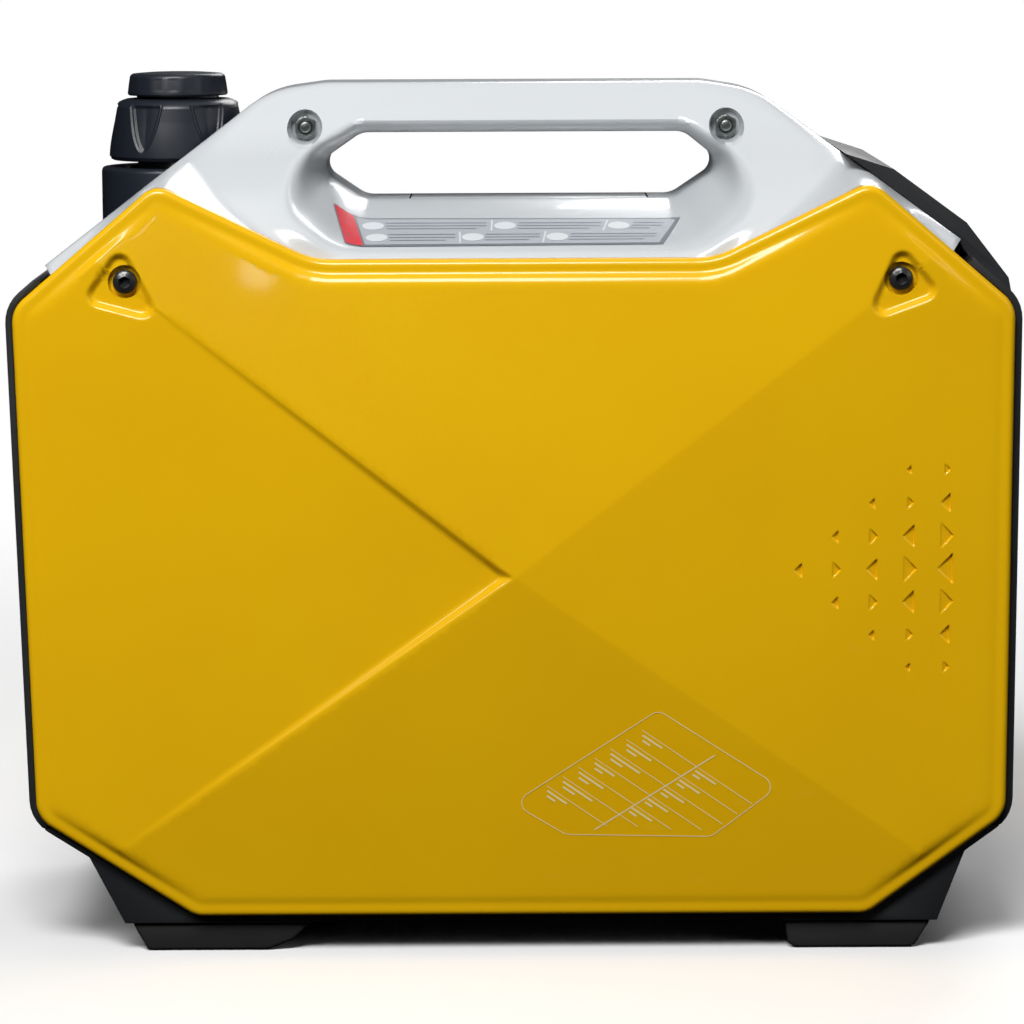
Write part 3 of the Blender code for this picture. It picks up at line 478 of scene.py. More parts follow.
def ventTriangles():
    x0, pitch = sidePanel["ventColumns"]
    z0, drop = sidePanel["ventRows"]
    triangles = []
    for row in range(-3, 4):
        heights = sidePanel["ventHeights"][abs(row)]
        for k, tall in enumerate(heights):
            x = x0 + pitch * (k + abs(row)) + (0.001 if k % 2 else 0)
            z, half, wide = z0 - row * drop, tall / 2000, tall * 0.49 / 1000
            point = 1 if k % 2 else -1
            corners = [(x - point * wide / 2, z + half), (x + point * wide / 2, z), (x - point * wide / 2, z - half)]
            triangles.append(corners if point > 0 else corners[::-1])
    return triangles


def facetHeight(points, notched):
    px, pz = sidePanel["peak"]
    dx, dz = points[:, 0] - px, points[:, 1] - pz
    rise = sidePanel["rise"]
    up, down = 1 - dz / sidePanel["upReach"], 1 + dz / sidePanel["downReach"]
    across = 1 - abs(dx) / sidePanel["sideReach"]
    height = rise * np.minimum(np.minimum(up, down), across)
    if notched:
        # the left facet sits a little deeper, with a short wall along both creases
        slopeUp = sidePanel["upReach"] / sidePanel["sideReach"]
        slopeDown = sidePanel["downReach"] / sidePanel["sideReach"]
        toUp = (-dx * slopeUp - dz) / math.hypot(slopeUp, 1)
        toDown = (-dx * slopeDown + dz) / math.hypot(slopeDown, 1)
        fade = np.clip(1 - abs(dx) / sidePanel["creaseFade"], 0, 1)
        near = np.minimum(toUp, toDown)
        width = sidePanel["creaseWall"] * (0.25 + 0.75 * fade)
        wall = np.clip(near / width, 0, 1)
        wall = wall * wall * (3 - 2 * wall)
        height -= np.where((dx < 0) & (near > 0), sidePanel["creaseDepth"] * fade * wall, 0)
    return np.maximum(height, 0)


def hingeChamfer(points, height):
    # the far panel falls away beside the door's hinge, so the door can swing past it
    beside = doorLow[0] - points[:, 0]
    beyond = np.maximum(np.maximum(doorLow[1] - points[:, 1], points[:, 1] - doorHigh[1]), 0)
    limit = 0.0028 + np.maximum(beside, 0) * 0.95 + beyond
    return np.where((beside > -0.0005), np.minimum(height, limit), height)


def creaseLines(notched):
    px, pz = sidePanel["peak"]
    lines = []
    for reach, sign in ((sidePanel["upReach"], 1), (sidePanel["downReach"], -1)):
        for way in (-1, 1):
            slope = sign * reach / sidePanel["sideReach"]
            for off in ((0, 0.0011, 0.0026, 0.0041, 0.0054) if way < 0 and notched else (-0.0012, 0, 0.0012)):
                line = []
                for k in range(120):
                    x = 0.004 + k * 0.002
                    z = pz + slope * x - sign * off * math.hypot(slope, 1)
                    if k and off and abs(off) > 0.0012 and (z - pz) * sign < 0.001:
                        continue
                    line.append((px + way * x, z))
                lines.append(line)
    return lines


def panelSkin(name, side, holes, body, replaced):
    outline = roundedOutline(sidePanel["corners"], 12, 0.003)
    normals = outwardNormals(outline)
    ring = lambda d: [p - n * d for p, n in zip(outline, normals)]
    rim, roundOff = sidePanel["rimWidth"], sidePanel["rimRound"]
    inner = ring(rim)
    notched = side < 0
    rings = [ring(d) for d in (0.0068, 0.0080, 0.0095)]
    dense = []
    for loop, (bx, bz) in zip(sidePanel["pockets"], sidePanel["bolts"]):
        rings += [circle(bx, bz, 0.0060, 40), circle(bx, bz, 0.0078, 48), circle(bx, bz, 0.0085, 48)]
        dense.append((bx, bz, 0.022, 0.0009))
    vents = ventTriangles() if notched else []
    for corners in vents:
        three = [(x, z, 0.0004) for x, z in corners]
        for inset in (-0.0003, 0, sidePanel["ventWall"], sidePanel["ventWall"] + 0.0003):
            rings.append(roundedOutline(grownCorners(three, -inset), 2, 0.0015))
    keepInside = lambda line: [p for p in line if insidePolygon(p, ring(0.0100))
                               and all(math.hypot(p[0] - bx, p[1] - bz) > 0.0105 for bx, bz in sidePanel["bolts"])]
    lines = [kept for kept in map(keepInside, creaseLines(notched)) if len(kept) > 2] if not holes else []
    if notched:
        lines = [[p for p in line if not (p[0] > 0.13 and abs(p[1] - 0.197) < 0.058)] for line in lines]
    if notched:
        dense += [(-0.006, 0.195, 0.010, 0.0010)]
    spots, faces = filledSheet(inner, holes, rings, lines, 0.0030, dense)
    flat = np.array(spots)
    height = facetHeight(flat, notched)
    edgeDistance = loopDistance(flat, outline)
    blend = np.clip((edgeDistance - rim) / 0.0050, 0, 1)
    height *= blend * blend * (3 - 2 * blend)
    for loop, (bx, bz) in zip(sidePanel["pockets"], sidePanel["bolts"]):
        soft = roundedOutline(loop, 6)
        away = loopDistance(flat, soft)
        into = np.where(insideMask(flat, soft), away, -away)
        dish = np.clip((into + 0.0010) / sidePanel["pocketWall"], 0, 1)
        height -= sidePanel["pocketDepth"] * dish * dish * (3 - 2 * dish)
        reach = np.hypot(flat[:, 0] - bx, flat[:, 1] - bz)
        wall = np.clip((sidePanel["boreRadius"] - reach) / 0.0007, 0, 1)
        height -= (sidePanel["boreDepth"] - sidePanel["pocketDepth"]) * wall
    for corners in vents:
        three = [(x, z, 0.0004) for x, z in corners]
        soft = roundedOutline(three, 2)
        (lowX, lowZ), (highX, highZ) = np.min(corners, axis=0), np.max(corners, axis=0)
        box = (flat[:, 0] > lowX - 0.002) & (flat[:, 0] < highX + 0.002)
        box &= (flat[:, 1] > lowZ - 0.002) & (flat[:, 1] < highZ + 0.002)
        where = np.nonzero(box)[0]
        away = loopDistance(flat[where], soft)
        into = np.where(insideMask(flat[where], soft), away, 0)
        ramp = 0.25 + 0.75 * np.clip((flat[where, 0] - lowX) / (highX - lowX), 0, 1)
        height[where] -= sidePanel["ventDepth"] * ramp * np.clip(into / sidePanel["ventWall"], 0, 1)
    if not notched:
        height = hingeChamfer(flat, height)
    verts = [(x, side * (sidePanel["plane"] + h), z) for (x, z), h in zip(spots, height)]
    faces = [tuple(f) for f in faces]
    profile = [(0.0, -sidePanel["skirt"]), (0.0, -roundOff - 0.004)]
    profile += [(roundOff - roundOff * math.cos(a), roundOff * math.sin(a) - roundOff)
                for a in (math.pi / 2 * k / 6 for k in range(7))]
    profile += [(rim * 0.82, 0.0), (rim, 0.0)]
    start = len(verts)
    for d, y in profile:
        verts += [(p.x, side * (sidePanel["plane"] + y), p.y) for p in ring(d)]
    faces += ringFaces(len(profile), len(outline), offset=start)
    # a folded lip runs into each opening
    for hole in holes:
        start, count = len(verts), len(hole)
        edge = np.array([tuple(p) for p in hole])
        lifts = hingeChamfer(edge, facetHeight(edge, notched))
        for drop in (0, 0.0006, 0.0035):
            verts += [(p[0], side * (sidePanel["plane"] + h - drop), p[1]) for p, h in zip(hole, lifts)]
        faces += ringFaces(3, count, offset=start)
    return newPiece(name, verts, faces, materials["yellowGloss"], body, replaced, 62)


panelSkin("near_panel_skin", -1, [], "housing", ["near_side_panel"])
starterHole = circle(*crank, 0.0785, 96)
doorHole = roundedOutline([(doorLow[0], doorHigh[1], 0.0015), (doorHigh[0], doorHigh[1], 0.0015),
                           (doorHigh[0], doorLow[1], 0.0015), (doorLow[0], doorLow[1], 0.0015)], 3, 0.003)
panelSkin("far_panel_skin", 1, [starterHole, doorHole], "housing", ["far_side_panel"])
print("side panels built")


# white top: two halves with a rounded roof edge, a funnel round the finger hole and the neck cut-out
whiteTop = {
    "roof": [(-0.2345, 0.3500, 0.002), (-0.1270, 0.4330, 0.050), (-0.0980, 0.4370, 0.050), (0.0990, 0.4370, 0.050),
             (0.1260, 0.4325, 0.050), (0.2235, 0.3610, 0.002)],
    "lean": [(0.335, 0.1235), (0.366, 0.1205), (0.380, 0.106), (0.394, 0.078), (0.408, 0.050), (0.420, 0.036),
             (0.430, 0.0295), (0.4365, 0.0240), (0.4400, 0.0230)],
    "hole": [(-0.1035, 0.3940, 0.008), (-0.0780, 0.3765, 0.014), (0.0835, 0.3765, 0.014), (0.1095, 0.3940, 0.008),
             (0.0885, 0.4110, 0.012), (-0.0790, 0.4110, 0.012)],
    "edgeRound": 0.0060, "holeRound": 0.0030, "funnelStart": 0.024, "funnelWide": 0.1205, "funnelGrowth": 0.0210,
    "funnelBlend": 0.022, "boltX": (-0.1075, 0.1100), "boltZ": 0.4145, "recessFloor": 0.0300, "recessRadius": 0.0083,
    "flareWidth": 0.1225, "flareSlope": 4.2,
    "neck": (-0.176, 0.0411), "plugDoor": (-0.0545, 0.0705, 0.0200), "seam": 0.0004,
}


def leanWidth(z):
    # half width of the top at each height, softened over a few millimetres
    heights, widths = zip(*whiteTop["lean"])
    z = np.asarray(z, float)
    return sum(np.interp(z + k * 0.0015, heights, widths) for k in range(-4, 5)) / 9


def funnelledWidth(flat, holeLine):
    # half width of the white top at each (x, z), with the funnel round the finger hole blended in
    top = whiteTop
    width = leanWidth(flat[:, 1])
    away = loopDistance(flat, holeLine)
    slope = (top["funnelWide"] - top["funnelStart"]) / top["funnelGrowth"]
    funnel = top["funnelStart"] + slope * away
    soft = top["funnelBlend"]
    share = np.clip(0.5 + 0.5 * (width - funnel) / soft, 0, 1)
    width = width * (1 - share) + funnel * share - soft * share * (1 - share)
    lip = np.clip(1 - away / top["holeRound"], 0, 1)
    return width - top["holeRound"] * (1 - np.sqrt(1 - lip * lip))


def outerLine(corners, steps, longest):
    # open line with rounded inner corners, evenly split
    full = roundedOutline([*corners], steps)
    per = steps + 1
    line = [Vector(corners[0][:2]), *full[per:-per], Vector(corners[-1][:2])]
    split = []
    for a, b in zip(line, line[1:]):
        cuts = max(1, math.ceil((b - a).length / longest))
        split += [a.lerp(b, k / cuts) for k in range(cuts)]
    return split + [line[-1]]


def nearestOnLine(start, a, b):
    a, b = Vector(a[:2]), Vector(b[:2])
    along = (b - a).normalized()
    return a + along * (Vector(start[:2]) - a).dot(along)


def whiteShell(name, side):
    top = whiteTop
    edge = grownCorners(sidePanel["corners"], -0.0008)
    roof = outerLine(top["roof"], 14, 0.0030)
    left = nearestOnLine(roof[0], edge[0], edge[-1])
    right = nearestOnLine(roof[-1], edge[3], edge[4])
    lower = roundedOutline(edge, 12, 0.0030)
    under = []
    for p in lower:
        if p.y > 0.345 and p.x > left.x + 0.0015 and p.x < right.x - 0.0015 and p.y > min(left.y, right.y):
            under.append(p)
    under.sort(key=lambda p: -p.x)
    outline = roof + [right] + under + [left]
    holeLine = roundedOutline(top["hole"], 10, 0.0025)
    door = top["plugDoor"]
    lowZ = min(p.y for p in holeLine)
    holeLine = withPoints(holeLine, [(door[0], lowZ), (door[1], lowZ)])
    holeNormals = outwardNormals(holeLine)
    grow = lambda amount: [p + n * amount for p, n in zip(holeLine, holeNormals)]
    rings = [[Vector(p) for p in grow(g)] for g in (0.0006, 0.0014, 0.0030)]
    roofNormals = []
    for i, p in enumerate(roof):
        a, b = roof[max(i - 1, 0)], roof[min(i + 1, len(roof) - 1)]
        along = (b - a).normalized()
        roofNormals.append(Vector((along.y, -along.x)))
    edgeRound = top["edgeRound"]
    lines = []
    for d in (0.06, 0.2, 0.42, 0.7, 1.0):
        line = [p + n * edgeRound * d for p, n in zip(roof, roofNormals)]
        lines.append([p for p in line if insidePolygon(p, outline)
                      and loopDistance(np.array([tuple(p)]), [right, *under, left], False)[0] > 0.0012])
    centres = [(x, top["boltZ"]) for x in top["boltX"]]
    for cx, cz in centres:
        for r in (top["recessRadius"] - 0.0010, top["recessRadius"] - 0.0002, top["recessRadius"] + 0.0008):
            rings.append(circle(cx, cz, r, 48))
    dense = [(cx, cz, 0.014, 0.0014) for cx, cz in centres]
    spots, faces = filledSheet(outline, [holeLine], rings, lines, 0.0022, dense)
    flat = np.array(spots)
    width = funnelledWidth(flat, holeLine)
    # the skirt of the top flares out to meet the side panels
    flare = top["flareWidth"] - top["flareSlope"] * loopDistance(flat, [right, *under, left], False)
    soft = 0.012
    share = np.clip(0.5 + 0.5 * (flare - width) / soft, 0, 1)
    onSlope = np.clip((abs(flat[:, 0]) - 0.105) / 0.030, 0, 1)
    raised = width * (1 - share) + flare * share + soft * share * (1 - share)
    width += (raised - width) * onSlope
    fromRoof = loopDistance(flat, roof, False)
    part = np.clip(1 - fromRoof / edgeRound, 0, 1)
    width -= edgeRound * 0.96 * (1 - np.sqrt(1 - part * part))
    for cx, cz in centres:
        reach = np.hypot(flat[:, 0] - cx, flat[:, 1] - cz)
        cup = np.clip((top["recessRadius"] + 0.0008 - reach) / 0.0018, 0, 1)
        width = np.where(reach < top["recessRadius"] + 0.0008, width * (1 - cup) + top["recessFloor"] * cup, width)
    verts = [(x, side * w, z) for (x, z), w in zip(spots, width)]
    faces = [tuple(f) for f in faces]
    lookup = {(round(x, 6), round(z, 6)): w for (x, z), w in zip(spots, width)}
    find = lambda p: lookup.get((round(p[0], 6), round(p[1], 6)), top["funnelStart"])
    # walls of the finger hole, left open over the plug cover
    start, count = len(verts), len(holeLine)
    for p in holeLine:
        verts.append((p[0], side * find(p), p[1]))
    for depth in (door[2], 0.0):
        verts += [(p[0], side * depth, p[1]) for p in holeLine]
    for r in range(2):
        for i in range(count):
            j = (i + 1) % count
            middle = (holeLine[i] + holeLine[j]) / 2
            if r == 1 and middle.y < lowZ + 0.0002 and door[0] < middle.x < door[1]:
                continue
            a, b = start + r * count, start + (r + 1) * count
            faces.append((a + i, a + j, b + j, b + i))
    # roof band across to the middle seam, with the neck cut-out
    band = [left] + roof + [right]
    lengths = [0.0]
    for a, b in zip(band, band[1:]):
        lengths.append(lengths[-1] + (b - a).length)
    bandX, bandZ = [p.x for p in band], [p.y for p in band]
    outerEdge = [(s, find(p)) for s, p in zip(lengths, band)]
    seamLine = [(s, 0.0) for s in lengths[::-1]]
    neckX, neckR = top["neck"]
    arc = []
    for a in range(41):
        angle = math.pi * a / 40
        x, y = neckX + neckR * math.cos(angle), neckR * math.sin(angle)
        arc.append((float(np.interp(x, bandX[1:-1], lengths[1:-1])), y))
    sHigh, sLow = arc[0][0], arc[-1][0]
    border = outerEdge + [p for p in seamLine if p[0] > sHigh + 0.0005] + arc
    border += [p for p in seamLine if p[0] < sLow - 0.0005]
    folds = [[(lengths[i], outerEdge[i][1] - 0.0002), (lengths[i], 0.0002)] for i in (1, len(lengths) - 2)]
    folds = [[(s, a + (b - a) * k / 30) for k in range(31)] for (s, a), (_, b) in folds]
    flatSpots, flatFaces = filledSheet(border, lines=folds, spacing=0.0040)
    start = len(verts)
    for s, y in flatSpots:
        x, z = float(np.interp(s, lengths, bandX)), float(np.interp(s, lengths, bandZ))
        verts.append((x, side * y, z - (top["seam"] if abs(y) < 1e-6 else 0)))
    faces += [tuple(start + i for i in f) for f in flatFaces]
    # short collar lip inside the cut-out
    start = len(verts)
    for drop in (0, 0.0008, 0.006):
        for s, y in arc:
            x, z = float(np.interp(s, lengths, bandX)), float(np.interp(s, lengths, bandZ))
            verts.append((x, side * y, z - drop))
    faces += ringFaces(3, len(arc), closed=False, offset=start)
    replaced = ["upper_shell_near" if side < 0 else "upper_shell_far"]
    return newPiece(name, verts, faces, materials["whiteGloss"], "housing", replaced, 50)


def withPoints(loop, extra):
    # puts extra points into a closed loop, on the segment that each lies on
    loop = [Vector(p) for p in loop]
    for point in extra:
        point = Vector(point)
        spot = np.array([tuple(point)])
        away = lambda i: loopDistance(spot, [loop[i], loop[(i + 1) % len(loop)]], False)[0]
        best = min(range(len(loop)), key=away)
        if (loop[best] - point).length > 1e-5 and (loop[(best + 1) % len(loop)] - point).length > 1e-5:
            loop.insert(best + 1, point)
    return loop


for shellName, shellSide in (("white_top_near", -1), ("white_top_far", 1)):
    whiteShell(shellName, shellSide)
print("white top built")


# moulded and machined parts: the frame's own shape with its flat faces joined and its edges rounded
def roundedCopy(node, material, width=0.0007, segments=3, name=None, angle=28, extraReplaced=()):
    source = frame["nodes"][node]
    bm = bmesh.new()
    bm.from_mesh(source.data)
    bmesh.ops.remove_doubles(bm, verts=bm.verts, dist=0.00002)
    bmesh.ops.dissolve_limit(bm, angle_limit=math.radians(0.8), verts=bm.verts, edges=bm.edges)
    mesh = bpy.data.meshes.new(name or node + "_finish")
    bm.to_mesh(mesh)
    bm.free()
    piece = bpy.data.objects.new(mesh.name, mesh)
    bpy.context.scene.collection.objects.link(piece)
    bevel = piece.modifiers.new("edges", "BEVEL")
    bevel.width, bevel.segments = width, segments
    bevel.limit_method, bevel.angle_limit = "ANGLE", math.radians(angle)
    bevel.use_clamp_overlap, bevel.harden_normals = True, False
    bevel.miter_outer = "MITER_ARC"
    baked = bpy.data.meshes.new_from_object(piece.evaluated_get(bpy.context.evaluated_depsgraph_get()))
    piece.modifiers.clear()
    piece.data = baked
    for face in baked.polygons:
        face.use_smooth = True
    baked.set_sharp_from_angle(angle=math.radians(34))
    baked.materials.clear()
    baked.materials.append(materials[material])
    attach(piece, source["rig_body"])
    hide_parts(node, *extraReplaced)
    return piece


finishes = {
    # node: (material, edge radius)
    "front_cover": ("blackMatte", 0.0014), "rear_cover": ("blackMatte", 0.0014), "bottom_tray": ("blackMatte", 0.0014),
    "foot_near_front": ("footRubber", 0.0016), "foot_near_rear": ("footRubber", 0.0016),
    "foot_far_front": ("footRubber", 0.0016), "foot_far_rear": ("footRubber", 0.0016),
    "control_panel": ("panelGrey", 0.0010), "ac_socket_left": ("blackMatte", 0.0007),
    "ac_socket_right": ("blackMatte", 0.0007), "dc_socket": ("blackMatte", 0.0006),
    "socket_lid_left": ("lidGrey", 0.0010), "socket_lid_right": ("lidGrey", 0.0010),
    "dc_reset_button": ("redButton", 0.0006), "ac_reset_button": ("redButton", 0.0006),
    "engine_switch_knob": ("blackMatte", 0.0010),
    "eco_rocker": ("blackMatte", 0.0007),
    "service_door_latch": ("boltBlack", 0.0006), "starter_housing": ("blackMatte", 0.0010),
    "starter_grip": ("footRubber", 0.0022), "fuel_neck_collar": ("capSatin", 0.0012),
    "spark_plug_cover": ("whiteGloss", 0.0006), "ground_nut": ("zincBright", 0.0003),
    "ground_stud": ("zincBright", 0.0003), "oil_filler_cap": ("blackMatte", 0.0007),
    "muffler": ("mufflerSteel", 0.0040), "exhaust_pipe": ("mufflerSteel", 0.0006),
    "fuel_tank": ("zincDark", 0.0010), "engine_block": ("castAlloy", 0.0020), "cylinder_head": ("castAlloy", 0.0012),
    "rocker_cover": ("castAlloy", 0.0020), "carburettor": ("castAlloy", 0.0008), "air_filter_box": ("blackMatte", 0.0015),
    "inverter_unit": ("castAlloy", 0.0008), "flywheel_rotor": ("castAlloy", 0.0008),
}
kept = {
    "spark_plug": "plugCeramic", "plug_cap": "footRubber", "engine_mount_front": "footRubber",
    "engine_mount_rear": "footRubber", "crankshaft": "zincBright", "stator": "copperWire",
    "cooling_fan": "panelGrey", "starter_reel": "lidGrey", "fuel_cap_gasket": "footRubber",
}
for node, (material, width) in finishes.items():
    roundedCopy(node, material, width)
for node, material in kept.items():
    piece = frame["nodes"][node]
    piece.data.materials.clear()
    piece.data.materials.append(materials[material])
print("moulded parts finished")


# starter rope, a braided run from the housing out to the grip, built at rest
starterRope = {"x": 0.060, "z": 0.176, "radius": 0.0019, "strand": 0.0002, "strands": 8, "turns": 2.5,
               "inner": 0.1062, "outer": 0.1343, "rings": 72}


def buildStarterRope():
    rope = starterRope
    reach = rope["outer"] - rope["inner"]

    def strand(radius, angle, height):
        twist = math.tau * rope["turns"] * (height - rope["inner"]) / reach
        return radius + rope["strand"] * math.cos(rope["strands"] * angle + twist)

    profile = [(rope["radius"], rope["inner"] + reach * k / rope["rings"]) for k in range(rope["rings"] + 1)]
    verts, faces = latheAlong("Y", (rope["x"], 0, rope["z"]), profile, 48, strand)
    piece = newPiece("rope_braid", verts, faces, materials["ropeNylon"], None, (), 60)
    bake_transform(piece)
    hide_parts("starter_rope")


buildStarterRope()
print("starter rope built")


# fuel cap with six scooped grips, and the vent knob on top of it
fuelCap = {"centre": (-0.176, 0.0), "bottom": 0.3965, "top": 0.4285, "lowRadius": 0.0357, "wideRadius": 0.0362,
           "topRadius": 0.0298, "grips": 6, "firstGrip": -117.0, "gripHalf": 17.5, "gripDepth": 0.0026,
           "gripTop": 0.4240, "gripBottom": 0.4012}
ventKnob = {"bottom": 0.4289, "top": 0.4423, "neckRadius": 0.0215, "wideRadius": 0.0262, "topRadius": 0.0246}


def gripWobble(radius, angle, height):
    # each grip is a parabola pointing down, with a stepped wall and a hollow floor
    cap = fuelCap
    spacing = math.tau / cap["grips"]
    off = (angle - math.radians(cap["firstGrip"]) + spacing / 2) % spacing - spacing / 2
    if height < cap["gripBottom"] - 0.001 or radius < 0.022:
        return radius
    t = (height - cap["gripBottom"]) / (cap["gripTop"] - cap["gripBottom"])
    if t <= 0:
        return radius
    wide = math.radians(cap["gripHalf"]) * math.sqrt(min(t, 1.0))
    inside = (wide - abs(off)) * radius
    if inside <= 0:
        return radius
    step = smoothStep(inside / 0.0006) * 0.0008
    inner = smoothStep((inside - 0.0018) / 0.0006) * 0.0008
    dish = min(inside / 0.009, 1.0) * (cap["gripDepth"] - 0.0016)
    ease = 1 - smoothStep((height - cap["gripTop"]) / 0.0022)
    return radius - (step + inner + dish) * ease


def buildFuelCap():
    cap = fuelCap
    bottom, top = cap["bottom"], cap["top"]
    profile = [(0.0, bottom + 0.004), (0.0285, bottom + 0.004), (0.0290, bottom + 0.0002), (0.0296, bottom)]
    profile += [(cap["lowRadius"] - 0.0016, bottom), (cap["lowRadius"] - 0.0004, bottom + 0.0006),
                (cap["lowRadius"], bottom + 0.0018)]
    rows = 80
    for k in range(1, rows):
        t = k / rows
        height = bottom + 0.0018 + (cap["gripTop"] + 0.0004 - bottom - 0.0018) * t
        bow = 0.0005 * math.sin(math.pi * min(t * 1.4, 1.0))
        radius = cap["wideRadius"] + (0.0330 - cap["wideRadius"]) * t ** 1.15 + bow * 0.4
        profile.append((min(radius, cap["wideRadius"]), height))
    profile += [(0.0322, cap["gripTop"] + 0.0016), (0.0308, cap["gripTop"] + 0.0028),
                (cap["topRadius"] - 0.001, top - 0.0008), (0.0270, top - 0.0002), (0.0240, top), (0.0, top)]
    verts, faces = latheAlong("Z", (cap["centre"][0], cap["centre"][1], 0), profile, 660, gripWobble)
    newPiece("fuel_cap_body", verts, faces, materials["capSatin"], "fuel_cap", ["fuel_cap"], 50)


def buildVentKnob():
    knob = ventKnob
    bottom, top = knob["bottom"], knob["top"]
    onSide = lambda h: bottom + 0.0042 < h < top - 0.0030
    ridge = lambda r, a, h: r - (0.00022 * (1 - math.cos(a * 18)) / 2 if onSide(h) else 0)
    profile = [(0.0, bottom), (knob["neckRadius"], bottom), (knob["neckRadius"], bottom + 0.0010),
               (knob["wideRadius"] - 0.0006, bottom + 0.0012), (knob["wideRadius"], bottom + 0.0020)]
    profile += [(knob["wideRadius"] - 0.0012 * (k / 12) ** 1.3,
                 bottom + 0.0020 + (top - 0.0026 - bottom - 0.0020) * k / 12) for k in range(1, 13)]
    profile += [(0.0244, top - 0.0016), (0.0234, top - 0.0010), (0.0216, top - 0.0008), (0.0150, top - 0.0003),
                (0.0060, top), (0.0, top)]
    verts, faces = latheAlong("Z", (fuelCap["centre"][0], fuelCap["centre"][1], 0), profile, 144, ridge)
    newPiece("vent_knob_body", verts, faces, materials["capSatin"], "vent_knob", ["vent_knob"], 40)


buildFuelCap()
buildVentKnob()
print("fuel cap built")


# screws and nuts
fixings = {"domeRadius": 0.0060, "nutFlats": 0.0104, "nutLow": -0.0362, "nutHigh": -0.0304}


def hexagonAt(angle):
    return 1 / math.cos((angle + math.pi / 6) % (math.pi / 3) - math.pi / 6)


def domedScrew(name, centre, side, replaced):
    x, z = centre
    face = sidePanel["plane"] + 0.0019
    r = fixings["domeRadius"]
    profile = [(0.0, side * (face - 0.0135)), (r * 0.94, side * (face - 0.0135)), (r, side * (face - 0.0020))]
    profile += [(r * math.cos(a), side * (face - 0.0020 + 0.0020 * math.sin(a)))
                for a in (math.pi / 2 * k / 8 for k in range(1, 5))]
    profile += [(radius, side * (face - sink)) for radius, sink in
                ((0.0030, 0.0001), (0.0027, 0.0006), (0.0026, 0.0026), (0.0, 0.0028))]
    socket = lambda radius, angle, h: radius * hexagonAt(angle) * 0.93 if radius < 0.0031 else radius
    verts, faces = latheAlong("Y", (x, 0, z), profile, 72, socket)
    newPiece(name, verts, faces, materials["boltBlack"], "housing", [replaced], 40)


def hexNut(name, x, z, low, high, replaced, boltNode):
    # chamfered hexagon with a threaded hole and the bolt end sunk in it
    flats = fixings["nutFlats"] / 2
    shape = lambda radius, angle, h: min(radius, flats * hexagonAt(angle)) if radius > 0.0045 else radius
    tall = high - low
    profile = [(0.0031, high), (flats * 1.16, high), (flats * 1.16, low + 0.0007), (flats * 1.02, low + 0.0001),
               (flats * 0.96, low), (0.0038, low), (0.0033, low + 0.0005)]
    turns = 6
    for k in range(turns * 2):
        profile.append((0.0033 if k % 2 == 0 else 0.0028, low + 0.0005 + (tall - 0.0007) * (k + 1) / (turns * 2 + 1)))
    profile.append((0.0031, high))
    verts, faces = latheAlong("Y", (x, 0, z), profile[:-1], 96, shape)
    faces = [f for f in faces if len(f) == 4]
    count = 96
    last = (len(profile) - 2) * count
    faces += [(last + i, last + (i + 1) % count, (i + 1) % count, i) for i in range(count)]
    newPiece(name, verts, faces, materials["zincDark"], "housing", [replaced], 30)
    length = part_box(boltNode)
    y = length[0].y
    thread = [(0.0, y + 0.0006), (0.0022, y + 0.0006)]
    for k in range(16):
        thread.append((0.00295 if k % 2 else 0.0026, y + 0.0008 + k * 0.0005))
    endY, headR = length[1].y, (length[1].x - length[0].x) / 2
    thread += [(0.00295, endY - 0.0042), (headR * 0.96, endY - 0.0042), (headR, endY - 0.0036), (headR, endY - 0.0010),
               (headR * 0.86, endY), (0.0031, endY), (0.0029, endY - 0.0024), (0.0, endY - 0.0026)]
    inSocket = lambda radius, h: h > endY - 0.0045 and radius < 0.0032
    socket = lambda radius, angle, h: radius * hexagonAt(angle) * 0.93 if inSocket(radius, h) else radius
    verts, faces = latheAlong("Y", (x, 0, z), thread, 72, socket)
    newPiece(name + "_bolt", verts, faces, materials["zincDark"], "housing", [boltNode], 30)


for side, where in ((-1, "near"), (1, "far")):
    for end, spot in zip(("front", "rear"), sidePanel["bolts"]):
        domedScrew(where + "_screw_" + end, spot, side, where + "_panel_bolt_" + end)
for end, x in zip(("front", "rear"), whiteTop["boltX"]):
    hexNut("handle_hex_" + end, x, whiteTop["boltZ"], fixings["nutLow"] + 0.0007, fixings["nutHigh"],
           "handle_nut_" + end, "handle_bolt_" + end)
print("fixings built")


# printed labels, all blank: one on the slope under the handle, one on the lower part of the near panel
slopeLabel = {
    "outline": [(-0.0926, -0.0600), (0.0855, -0.0620), (0.0750, -0.1070), (-0.0848, -0.1090)],
    "redEnd": 0.0105, "upperCells": (0.000, 0.430, 0.800, 1.0),
    "lowerCells": (0.000, 0.325, 0.610, 1.0), "badge": 0.0060, "lift": 0.00028, "print": 0.0011,
}


def slopeHeight(spots):
    # height of the white slope at (x, y), found by halving
    holeLine = roundedOutline(whiteTop["hole"], 10, 0.0025)
    spots = np.array([tuple(p) for p in spots])
    low, high = np.full(len(spots), 0.3500), np.full(len(spots), 0.3762)
    for _ in range(22):
        middle = (low + high) / 2
        wide = funnelledWidth(np.column_stack([spots[:, 0], middle]), holeLine)
        outside = wide > -spots[:, 1]
        low, high = np.where(outside, middle, low), np.where(outside, high, middle)
    return (low + high) / 2


def slopeDecal(name, outline, material, lift):
    spots, faces = filledSheet(outline, spacing=0.0050)
    heights = slopeHeight(spots)
    verts = [(x, y - lift * 0.2, z + lift) for (x, y), z in zip(spots, heights)]
    return newPiece(name, verts, [tuple(f) for f in faces], materials[material], "housing")


